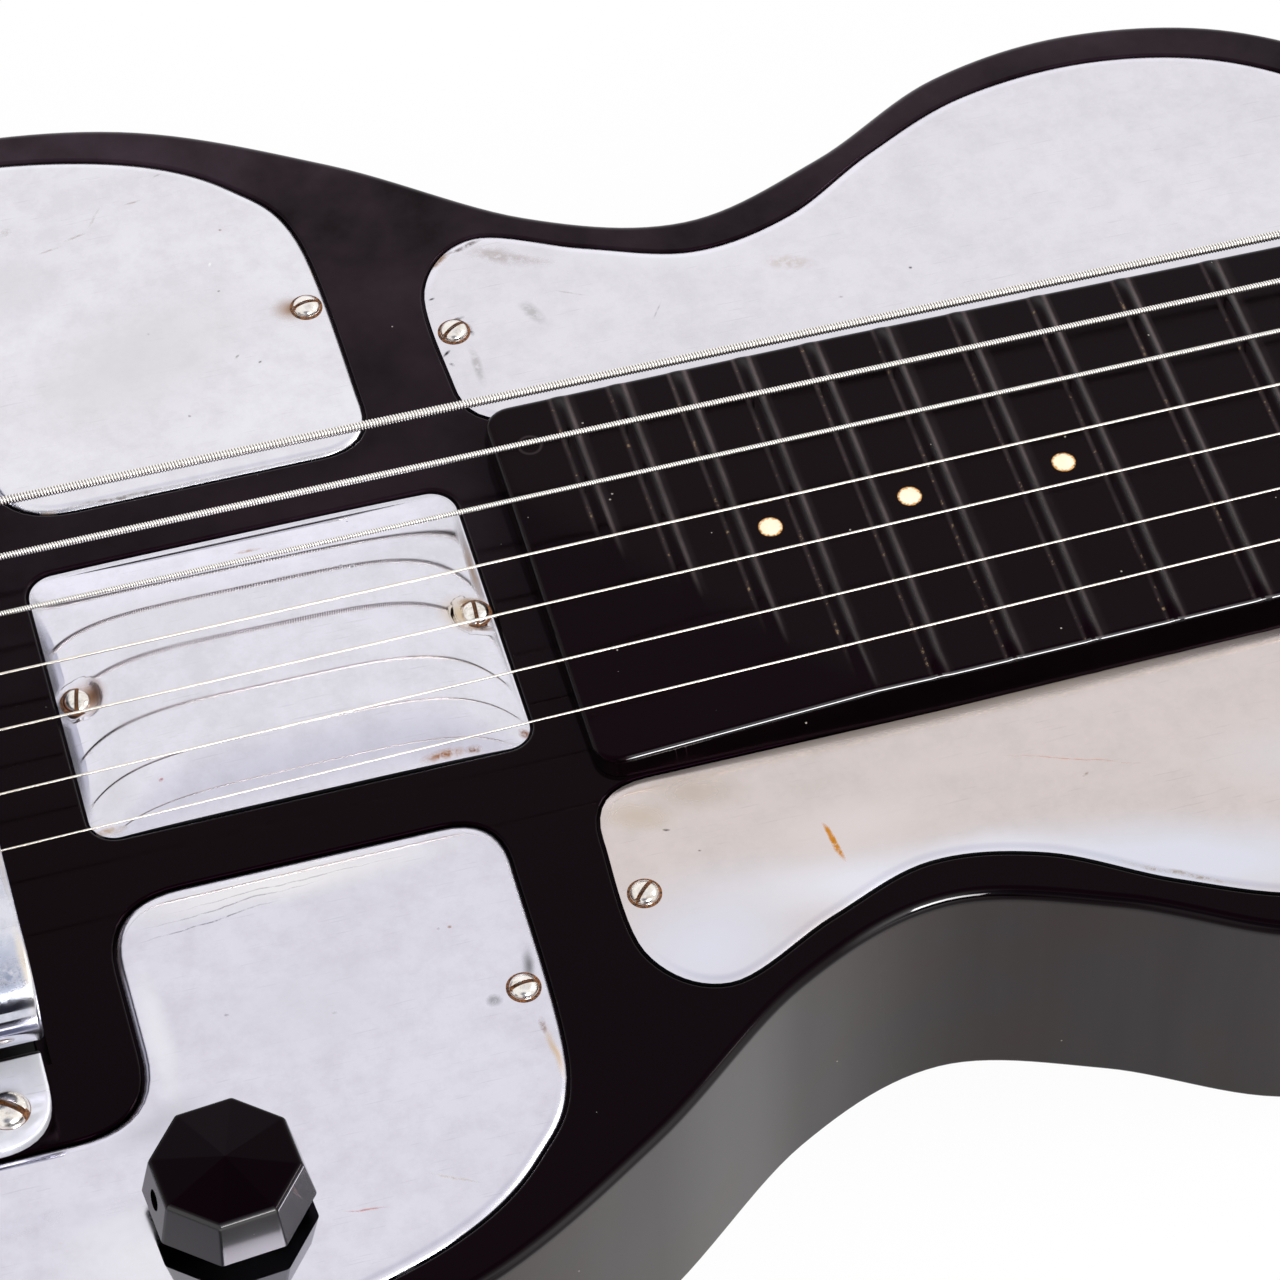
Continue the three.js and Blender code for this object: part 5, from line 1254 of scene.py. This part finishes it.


# Each plate's tones and marks, painted highlights and reflections among them: the treble ones are
# warmer, under the player's sleeve
PLATE_TONES = {
    "plate_lower_bass": ("#ebe9f0", "#dedce2", [
        (84.1, 87.8, 2.1, 0.25, 12, "#a3968f", 0.7), (88.9, 89.6, 2.2, 0.3, 10, "#a3968f", 0.7),
        (92.6, 92.7, 2.8, 0.3, 62, "#aaa09b", 0.5), (99.3, 94.2, 1.6, 0.25, 11, "#a3968f", 0.7),
        (104, 98.9, 0.8, 0.2, 20, "#8a7d76", 0.7), (78.6, 93.6, 1.3, 0.8, 30, "#b0a8a6", 0.6),
        (107.8, 78.3, 0.6, 0.25, 60, "#ffffff", 1), (110.7, 56.5, 0.4, 0.25, 20, "#57483f", 0.9),
        (107.8, 58.6, 0.6, 0.25, 50, "#6d5f57", 0.8), (98.1, 49.1, 0.3, 0.3, 0, "#57483f", 0.9),
        (108, 72.2, 0.3, 0.25, 0, "#57483f", 0.8), (95.3, 66.6, 0.3, 0.3, 0, "#57483f", 0.8),
        (110.9, 84.8, 0.35, 0.3, 0, "#7a5a40", 0.9), (72.5, 36.4, 2.8, 0.5, 0, "#a98350", 0.9),
        (85, 36.5, 9, 0.35, 0, "#6e675f", 0.8), (123.4, 71.5, 3, 0.8, -78, "#dfc09a", 0.9),
        (92, 62, 24, 13, 20, "#d9d6da", 0.7), (76, 82, 12, 8, 0, "#d6d3d8", 0.6),
        (117.6, 65.6, 2.9, 2.6, 0, "#8a6238", 0.9),
    ]),
    "plate_upper_bass": ("#e5e2ea", "#dad7df", [
        (142, 69.4, 3, 1, 35, "#8f6f4c", 0.9), (146.5, 71, 3.4, 0.6, 12, "#4a3826", 0.9),
        (151, 67.6, 6, 1.9, -28, "#a8a09e", 0.8), (156, 65.5, 4, 1, -24, "#b3acab", 0.7),
        (153.3, 55, 3.4, 1.4, -60, "#b2aeb0", 0.7), (142.4, 46.5, 4.8, 1, -88, "#b2aeb0", 0.7),
        (143.2, 54.2, 1.8, 0.5, -82, "#1a1513", 1), (142, 56.6, 1.4, 0.4, 20, "#1a1513", 0.9),
        (138.5, 50.2, 0.9, 0.35, 35, "#1a1513", 1), (138.6, 47.8, 0.7, 0.3, -50, "#1a1513", 0.9),
        (139, 61.6, 0.6, 0.3, 0, "#1a1513", 0.9), (212, 47.6, 0.4, 0.35, 0, "#1a1513", 1),
        (199.7, 44.7, 0.5, 0.25, 0, "#57483f", 0.9), (194, 54, 5, 1.8, -20, "#c9bcb5", 0.7),
        # The pale band along the waist edge at x 175 is a painted reflection
        (175, 62, 20, 5, -18, "#eceaf1", 0.6), (172, 50, 2.4, 0.2, 60, "#b2aeb0", 0.7),
        (160, 57, 3, 0.2, -30, "#b7b0ac", 0.6),
    ]),
    "plate_centre": ("#e5e3ed", "#d8d6df", [
        (79, -18.1, 0.4, 0.35, 0, "#a03428", 1), (119, -24, 4, 0.9, 2, "#8a5a34", 1),
        (123.4, -24, 1.6, 0.8, 2, "#6b3d1c", 1), (131.3, -22.6, 1, 1, 0, "#7a4a22", 1),
        (70, -23.6, 3, 0.8, 0, "#b59a78", 0.8), (114.6, 11.7, 0.4, 0.35, 0, "#241e1c", 1),
        (113, 12.4, 0.35, 0.3, 0, "#241e1c", 0.9), (100.5, 19.8, 2.4, 0.4, 0, "#b08c70", 0.7),
        (128.4, 0.4, 4, 3.6, 0, "#cdb690", 0.9), (130, 2.6, 2.4, 0.9, 0, "#96703c", 0.9),
        (130, -2.6, 2.2, 0.7, 0, "#96703c", 0.8), (71.6, 0.1, 3.2, 3.1, 0, "#a47434", 0.9),
        (72.8, 0.4, 1.5, 2.6, 0, "#5a3210", 0.9), (131.7, 9, 0.7, 8, 0, "#8a6a48", 0.8),
        (85, 10, 16, 8, 0, "#dcdae1", 0.6), (72.5, -18, 4, 5, 0, "#d2cfd6", 0.6),
    ]),
    "plate_lower_treble": ("#dedce7", "#d2cfda", [
        (121.3, -62.4, 1.1, 3.4, -12, "#1a1513", 0.75), (115.2, -67, 1.3, 1.1, 0, "#1a1513", 0.55),
        (121.2, -77.5, 0.7, 5, 3, "#b9a184", 0.9), (120.7, -72.6, 0.6, 1.8, 0, "#6b4426", 0.9),
        (112.4, -52.8, 0.4, 0.35, 0, "#8a5a30", 1), (110.9, -52.7, 0.3, 0.25, 0, "#3a302b", 0.9),
        (78.9, -59.2, 0.4, 0.3, 0, "#3a302b", 0.9), (93.4, -62.5, 0.4, 0.3, 0, "#3a302b", 0.9),
        (102.5, -93.3, 4, 0.22, -28, "#b2a48e", 0.8), (89.8, -95, 3.2, 0.22, -8, "#b5685c", 0.8),
        # The pale band at y -39.3 along the inner edge is a painted reflection; three thin grey
        # lines run beside it with the strings
        (93.7, -105.5, 3, 0.8, 12, "#77716c", 0.9), (92, -39.3, 26, 3.4, 0, "#efedee", 0.9),
        (80, -43, 11, 0.16, 5, "#77757c", 0.9), (84, -41, 14, 0.15, 3, "#85838a", 0.8),
        (92, -39.6, 18, 0.14, 1, "#85838a", 0.7), (60, -95, 14, 13, 0, "#eceaf0", 0.7),
        # The pale strip and the grey patch along the notch's rolled edge are painted reflections
        (69, -60, 2.4, 14, 0, "#eceaf0", 0.7), (66, -74, 9, 3, 20, "#b9b7c0", 0.6),
        (90, -60, 14, 9, 0, "#d7d5de", 0.5),
    ]),
    "plate_upper_treble": ("#d6cbc9", "#cdc3c0", [
        # The four blue-white patches along the waist edge are painted highlights
        (146, -67, 20, 15, 15, "#dcdce8", 1), (172, -62, 24, 7, -12, "#e6e5ee", 1),
        (212, -70, 40, 9, -15, "#dcdde8", 1.2), (190, -63, 14, 5, -12, "#e8e8f2", 1),
        (172, -52, 16, 7, 0, "#ddd3d2", 0.9), (240, -58, 22, 8, -12, "#dad4d6", 0.8),
        (143, -42, 6, 3, -20, "#b5a696", 0.8),
        (196, -34.9, 62, 3.6, 0.8, "#9c8d80", 0.8), (152, -40, 8, 4, -12, "#a89a8c", 0.6),
        (168.4, -53.9, 4, 0.6, -79, "#b87818", 2),
        (146.1, -45.3, 0.7, 0.25, -20, "#241e1c", 1), (149.8, -50, 0.3, 0.25, 0, "#57483f", 0.9),
        (206.5, -52.2, 0.6, 0.3, 30, "#6d4a36", 0.9), (206, -49.2, 11, 0.15, -19, "#bb8f80", 0.9),
        (214, -72.4, 10, 0.5, -30, "#7d6a55", 0.8), (186, -45, 12, 3, -8, "#d8cdcb", 0.6),
    ]),
}
for name, outline in plate_outlines.items():
    bright, dull, spots = PLATE_TONES[name]
    material = chromed("chrome_" + name, bright, dull, 0.05, 0.14, spots)
    if name == "plate_centre":
        plate = centre_plate()
    else:
        holes = []
        if name == "plate_lower_treble":
            holes = [(4.9, KNOB_X, KNOB_Y), (5.5, JACK_X, JACK_Y)]
        plate = flat_plate(name, outline, holes)
    dress(plate, material, "plate_chrome", "chassis", name, smooth=50)


# The plate screws. Twelve nickelled wood screws with oval heads, which stand a little proud of the
# plates, each with its slot turned its own way.

# Head and dome radius, dome height, shank radius and length; the slot's width and depth
SCREW_SIZES = (2.5, 2.08, 1.25, 1.3, 11)
SLOT_SIZE = (0.6, 0.7)
LOWER_SCREWS = [(0.4855, 0.573), (0.235, 0.885), (0.085, 0.39)]
UPPER_SCREWS = [(0.5415, 0.479), (0.93, 0.52)]
SLOT_TURNS = {
    "lower_bass": (0.1, 1.1, 2.3), "lower_treble": (0.1, 0.8, 1.9),
    "upper_bass": (0.5, 1.6), "upper_treble": (0.75, 2.6),
}
# On the bass side the holes were drilled a little off
SCREW_SHIFTS = {"lower_bass": (0.4, -0.5), "upper_bass": (0.5, -0.8)}
for word, turns in SLOT_TURNS.items():
    side = 1 if word.endswith("bass") else -1
    shares = LOWER_SCREWS if word.startswith("lower") else UPPER_SCREWS
    for number, (share, turn) in enumerate(zip(shares, turns), 1):
        x, y = body_point(share)
        node = f"screw_{word}_{number}"
        shift_x, shift_y = SCREW_SHIFTS.get(word, (0, 0))
        piece = screw(node + "_head", x + shift_x, side * y + shift_y, PLATE_TOP + 0.1, turn,
                      SCREW_SIZES, SLOT_SIZE)
        dress(piece, screw_nickel, "screw_nickel", "chassis", node)
for number, (x, turn) in enumerate(zip(CENTRE_SCREWS, (1.35, 1.5)), 1):
    node = f"screw_centre_{number}"
    piece = screw(node + "_head", x, 0, CENTRE_SEAT + 0.1, turn, SCREW_SIZES, SLOT_SIZE)
    dress(piece, screw_nickel, "screw_nickel", "chassis", node)
# Two more, countersunk, hold the bridge
for number, y in enumerate((35.2, -35.2), 1):
    piece = screw(f"bridge_screw_{number}", -1.5, y, 47, 0.4 * number,
                  (2.2, 2, 1, 1.2, 4), (0.6, 0.5))
    dress(piece, screw_nickel, "screw_nickel", "chassis")


# The knob. Eight-sided, of glossy black phenolic, with a low pyramid on top, flared sides and a
# set screw in one of them.

KNOB_TURN = 0.484
KNOB_BOTTOM = 44.8
KNOB_RIM = 52.1
KNOB_FOOT = 11.85
KNOB_SHOULDER = 10.55
RIM_MIDDLE = 9.85
RIM_ROUNDING = 0.6
PYRAMID_RISE = 1.4
CORNER_SHARE = 0.04
SET_SCREW_Z = 48.4
knob_resin = phenolic("phenolic_moulded_bright", 0.04, 0.4, "#030102", 0.28)


def octagon(radius):
    """The knob's outline at one height, flat-sided, its corners eased."""
    tips = circle(radius, 0, 0, 8)
    points = []
    for before, tip, after in zip(tips[-1:] + tips[:-1], tips, tips[1:] + tips[:1]):
        start, end = (tuple(a + (b - a) * CORNER_SHARE for a, b in zip(tip, beside))
                      for beside in (before, after))
        points += [start] + arc(start, tip, end, 3)
    cos, sin = math.cos(KNOB_TURN), math.sin(KNOB_TURN)
    return [(KNOB_X + x * cos - y * sin, KNOB_Y + x * sin + y * cos) for x, y in points]


# The rim is a rounding between the side and the pyramid, whose slopes it meets
levels = [(octagon(KNOB_FOOT), KNOB_BOTTOM), (octagon(KNOB_SHOULDER), KNOB_RIM - 0.65)]
for step in range(8):
    angle = math.radians(11.5 + 70 * step / 7)
    reach = RIM_ROUNDING * math.cos(angle)
    levels.append((octagon(RIM_MIDDLE + reach), KNOB_RIM - 0.55 + RIM_ROUNDING * math.sin(angle)))
levels += [(octagon(9.6), KNOB_RIM + 0.09), (octagon(0.15), KNOB_RIM + PYRAMID_RISE)]
# How far each level takes the bright skin, and each facet: the thumb keeps those toward the player
# brightest. A corner of the outline has four points.
shine = [0.8, 0.8] + [1.0] * 6 + [0.7, 0.3, 0.0, 0.0]
thumbed = (0.05, 0.05, 0.05, 0.05, 0.5, 0.8, 0.12, 0.05)
gloss = [share * thumbed[(i // 4 - (i % 4 < 2)) % 8] for share in shine for i in range(32)]
knob = stacked("knob_moulded", levels, {"gloss": gloss})
facet = KNOB_TURN + 3.5 * math.pi / 4
bore = turned("bore", [(1.5, 2), (1.5, 14)], 28)
bore.data.transform(
    Matrix.Translation((KNOB_X * MM, KNOB_Y * MM, SET_SCREW_Z * MM))
    @ Matrix.Rotation(facet, 4, "Z") @ Matrix.Rotation(math.pi / 2, 4, "Y"))
socket = turned("socket", [(3.2, 40), (3.2, 50.4)], 32, KNOB_X, KNOB_Y)
carve(knob, [bore, socket])
dress(knob, knob_resin, "moulded_black", "volume_control", "volume_knob", smooth=18)


# The tuners. Under the head, one steel plate a side carries the worms and worm wheels; the posts
# stand up through the head in plain bushings, and each worm's shaft ends in a cream oval button.

POST_TOP = 55.4
POST_RADIUS = 3
POST_GROOVE = 2.55
WHEEL_TEETH = 14
# In metres from the middle plane, as the material needs it
BUTTON_START = 0.04302
stamped = fine_surface("steel_plate_nickelled", "#a9a296", "#c9c4b9", 350, 1, 0.25, 0.1)
button_celluloid = celluloid("celluloid_button_polished", "#ece1c2", "#dccb9c", BUTTON_START)
reuse("tuner_plate_bass", stamped, 0.3)
reuse("tuner_plate_treble", stamped, 0.3)
for number, (rank, side) in enumerate(TUNER_SIDES, 1):
    x = SCALE + TUNER_PLACES[rank]
    y = side * TUNER_OFFSET
    reuse(f"tuner_button_{number}", button_celluloid, 0.5, 3)
    post = turned(f"tuner_post_{number}_turned", [
        (POST_RADIUS, 25), (POST_RADIUS, POST_TOP - 7), (POST_GROOVE, POST_TOP - 6.2),
        (POST_GROOVE, POST_TOP - 2.6), (POST_RADIUS, POST_TOP - 1.8), (POST_RADIUS, POST_TOP - 0.5),
        (2.5, POST_TOP),
    ], 32, x, y)
    teeth = []
    for corner in range(4 * WHEEL_TEETH):
        angle = 2 * math.pi * corner / (4 * WHEEL_TEETH)
        radius = (4.4, 4.9, 5.2, 4.9)[corner % 4]
        teeth.append((x + radius * math.cos(angle), y + radius * math.sin(angle)))
    filed = outset(teeth, -0.3)
    wheel = stacked(f"tuner_wheel_{number}", [
        (filed, 21.1), (teeth, 21.5), (teeth, 24.7), (filed, 25.1)])
    dress(post, stamped, "tuner_nickel", f"post_{number}", f"tuner_post_{number}")
    dress(wheel, cast_metal, "tuner_nickel", f"post_{number}", f"tuner_post_{number}")
    collar = turned(f"tuner_bushing_{number}", [
        (5, HEAD_TOP), (5, HEAD_TOP + 0.7), (4.3, HEAD_TOP + 1.4), (3.4, HEAD_TOP + 1.6),
    ], 36, x, y)
    carve(collar, [turned("hole", [(3.15, 40), (3.15, 50)], 32, x, y)])
    dress(collar, stamped, "tuner_nickel", "chassis")


# The strings. Three are wound with nickel wire over a steel core, four are plain steel. Each is
# held by its ball in the back, comes up behind the bridge and ends in turns round its post.

BALL_Z = 4.9
STRING_BEND = 3
WIND_TOP = 51.4


def string_route(number):
    """The string's path, as the solids have it, with finer bends."""
    radius = STRING_RADII[number]
    rank, side = TUNER_SIDES[number]
    saddle_y, nut_y = SADDLE_Y[number], NUT_Y[number]
    post_x = SCALE + TUNER_PLACES[rank]
    post_y = side * TUNER_OFFSET
    wind = POST_RADIUS + radius + 0.25
    pitch = 2 * radius + 0.5
    knots = [
        Vector((STRING_HOLE_X, saddle_y, BALL_Z)), Vector((STRING_HOLE_X, saddle_y, 43.1)),
        Vector((0, saddle_y, STRING_Z_AT_SADDLE)), Vector((SCALE, nut_y, STRING_Z_AT_NUT)),
        Vector((post_x, post_y - side * wind, WIND_TOP)),
    ]
    points = [knots[0]]
    for before, knot, after in zip(knots, knots[1:], knots[2:]):
        back = (before - knot).normalized()
        ahead = (after - knot).normalized()
        reach = STRING_BEND / math.tan(back.angle(ahead) / 2)
        points += [knot + back * reach]
        points += [Vector(p) for p in arc(knot + back * reach, knot, knot + ahead * reach, 6)]
    for step in range(37):
        turn = step / 24
        angle = side * (turn * 2 * math.pi - math.pi / 2)
        points.append(Vector((
            post_x + wind * math.cos(angle), post_y + wind * math.sin(angle),
            WIND_TOP - pitch * turn)))
    return points


def tube(route, radius, sides, pitch=0, depth=0):
    """A round wire along a route. A pitch gives it the ridges of its winding."""
    places = [(route[0], 0.0)]
    walked = 0.0
    for a, b in zip(route, route[1:]):
        length = (b - a).length
        if length < 0.001:
            continue
        steps = max(1, round(length / (pitch / 4))) if pitch else 1
        for step in range(1, steps + 1):
            places.append((a.lerp(b, step / steps), walked + length * step / steps))
        walked += length
    corners, grooves = [], []
    across = Vector((0, 1, 0))
    for i, (place, along) in enumerate(places):
        before = places[max(i - 1, 0)][0]
        after = places[min(i + 1, len(places) - 1)][0]
        forward = (after - before).normalized()
        across = (across - forward * across.dot(forward)).normalized()
        other = forward.cross(across)
        for side in range(sides):
            angle = 2 * math.pi * side / sides
            wave = depth * math.cos(2 * math.pi * along / pitch - angle) if pitch else 0
            spoke = across * math.cos(angle) + other * math.sin(angle)
            corners.append(place + spoke * (radius - depth + wave))
            grooves.append(0.5 - wave / depth / 2 if depth else 0.0)
    return corners, capped(sides, len(places)), grooves


@surface
def drawn_wire(add, place, pale, dark, rough):
    """Drawn steel or nickel wire: bright along its top, grey beneath, faintly streaked."""
    streak = add("Mapping", {"Vector": place, "Scale": (60, 3000, 3000)})
    grain = add("TexNoise", {"Vector": streak, "Scale": 1, "Detail": 3})
    groove = add("Attribute", out="Fac", attribute_name="groove")
    base = add("Mix", grain, pale, dark)
    # Dirt and shadow between the turns of a winding
    between = add("MapRange", groove, 0.42, 0.85, 0.0, 0.9)
    base = add("Mix", between, base, "#5a5248")
    gloss = add("MapRange", grain, 0.3, 0.7, rough, rough + 0.12)
    relief = add("Bump", {"Height": grain, "Strength": 0.05, "Distance": 0.00005})
    return {"Base Color": base, "Metallic": 1, "Roughness": gloss, "Normal": relief}


wound_wire = drawn_wire("nickel_wire_wound", "#fffdf8", "#fbf4ee", 0.22)
plain_wire = drawn_wire("steel_wire_drawn", "#f4ece2", "#d6cdbf", 0.14)
# The windings' pitches and depths: up to twice as coarse as real ones, so that they show
WINDINGS = [(0.46, 0.1), (0.42, 0.085), (0.38, 0.06)]
for number, radius in enumerate(STRING_RADII):
    pitch, depth = WINDINGS[number] if number < len(WINDINGS) else (0, 0)
    # The plain ones look a little thinner than their solids, the wound ones a little thicker
    thick = radius * (1.08 if pitch else 0.74)
    corners, faces, grooves = tube(string_route(number), thick, 10, pitch, depth)
    wire = solid(f"string_{number + 1}_wire", corners, faces, {"groove": grooves})
    material = wound_wire if pitch else plain_wire
    node = f"string_{number + 1}"
    dress(wire, material, "string_steel", "chassis", node, smooth=80)
    ball = turned(f"string_ball_{number + 1}", [
        (1.7, 2.8), (2.1, 3.2), (2.1, 6.6), (1.7, 7)], 28, STRING_HOLE_X, SADDLE_Y[number])
    dress(ball, stamped, "string_steel", "chassis", node)


# The view and the light. A long lens looks down at the middle of the guitar from the treble side,
# in a white room: the floor and the sky are white, so the chrome mirrors white.

LOOK_AT = Vector((0.15079, -0.01511, 0.04692))
AZIMUTH, ELEVATION, TILT = (math.radians(angle) for angle in (-15.356, 51.90, -0.447))
DISTANCE = 0.76618
LENS = 148.71

lens = bpy.data.cameras.new("camera")
lens.lens = LENS
lens.sensor_width = 36
lens.clip_start = 0.01
camera = bpy.data.objects.new("camera", lens)
bpy.context.scene.collection.objects.link(camera)
bpy.context.scene.camera = camera
level = math.cos(ELEVATION)
back = Vector((math.sin(AZIMUTH) * level, -math.cos(AZIMUTH) * level, math.sin(ELEVATION)))
right = (-back).cross(Vector((0, 0, 1))).normalized()
up = right.cross(-back)
tilted_right = right * math.cos(TILT) + up * math.sin(TILT)
tilted_up = up * math.cos(TILT) - right * math.sin(TILT)
turn = Matrix((tilted_right, tilted_up, back)).transposed()
camera.matrix_world = Matrix.Translation(LOOK_AT + back * DISTANCE) @ turn.to_4x4()

bpy.context.scene.view_settings.view_transform = "Standard"

room = bpy.data.worlds.new("white_room")
bpy.context.scene.world = room
room.use_nodes = True
room.node_tree.nodes.clear()
add = functools.partial(add_node, room.node_tree)
direction = add("TexCoord", out="Generated")
# White all round, but for the patches of the room that the chrome mirrors darker or brighter. Each
# has its direction, the cosines of the angles where it begins and where it is full, and its light.
ROOM_PATCHES = [
    # High up in front, behind the lamp
    ((-0.19, -0.68, 0.71), 0.93, 0.975, (0.2, 0.22, 0.29, 1)),
    # Low in front, where no light reaches
    ((0.1, -0.99, 0.05), 0.8, 0.93, (0.03, 0.03, 0.04, 1)),
    # The window side, beyond the guitar
    ((0.05, 0.965, 0.26), 0.86, 0.95, (1.1, 1.1, 1.12, 1)),
    # The ceiling
    ((0.16, 0.1, 0.98), 0.9, 1, (0.8, 0.8, 0.85, 1)),
]
white = (1, 1, 1, 1)
sky = white
for aim, wide, narrow, shade in ROOM_PATCHES:
    toward = add("VectorMath.DOT_PRODUCT", direction, aim)
    toward = add("MapRange", toward, wide, narrow)
    sky = add("Mix", toward, sky, shade)
seen = add("Background", {"Color": white, "Strength": 1.0})
light = add("Background", {"Color": sky, "Strength": 1.0})
is_camera = add("LightPath", out="Is Camera Ray")
add("OutputWorld", {"Surface": add("MixShader", is_camera, light, seen)})

far = 4000
corners = [(-far, -far, -0.05), (far, -far, -0.05), (far, far, -0.05), (-far, far, -0.05)]
floor = solid("floor", corners, [(0, 1, 2, 3)])
material, add = new_material("paper_sweep_white")
place = add("TexCoord", out="Object")
tooth = add("TexNoise", {"Vector": place, "Scale": 300, "Detail": 3})
paper = add("Mix", tooth, (0.86, 0.86, 0.86, 1), (0.88, 0.88, 0.88, 1))
matt = add("BsdfDiffuse", {"Color": paper})
glow = add("Emission", {"Color": (1, 1, 1, 1), "Strength": 1.0})
camera_ray = add("LightPath", out="Is Camera Ray")
glossy_ray = add("LightPath", out="Is Glossy Ray")
direct = add("Math.MAXIMUM", camera_ray, glossy_ray)
share = add("Math.MULTIPLY", direct, 0.95)
add("OutputMaterial", {"Surface": add("MixShader", share, matt, glow)})
floor.data.materials.append(material)


def softbox(name, place, aim, size, power, tint):
    """A soft studio lamp."""
    lamp = bpy.data.lights.new(name, "AREA")
    lamp.shape = "RECTANGLE"
    lamp.size, lamp.size_y = size
    lamp.energy = power
    lamp.color = colour(tint)[:3]
    holder = bpy.data.objects.new(name, lamp)
    holder.location = place
    holder.rotation_euler = (Vector(aim) - Vector(place)).to_track_quat("-Z", "Y").to_euler()
    bpy.context.scene.collection.objects.link(holder)


softbox("front_lamp", (0.42, -1.08, 0.66), (0.12, -0.05, 0.04), (0.6, 0.34), 7.5, "#ffffff")
softbox("side_lamp", (1.35, -0.15, 0.92), (0.1, -0.08, 0.04), (0.5, 0.3), 6.8, "#ffffff")
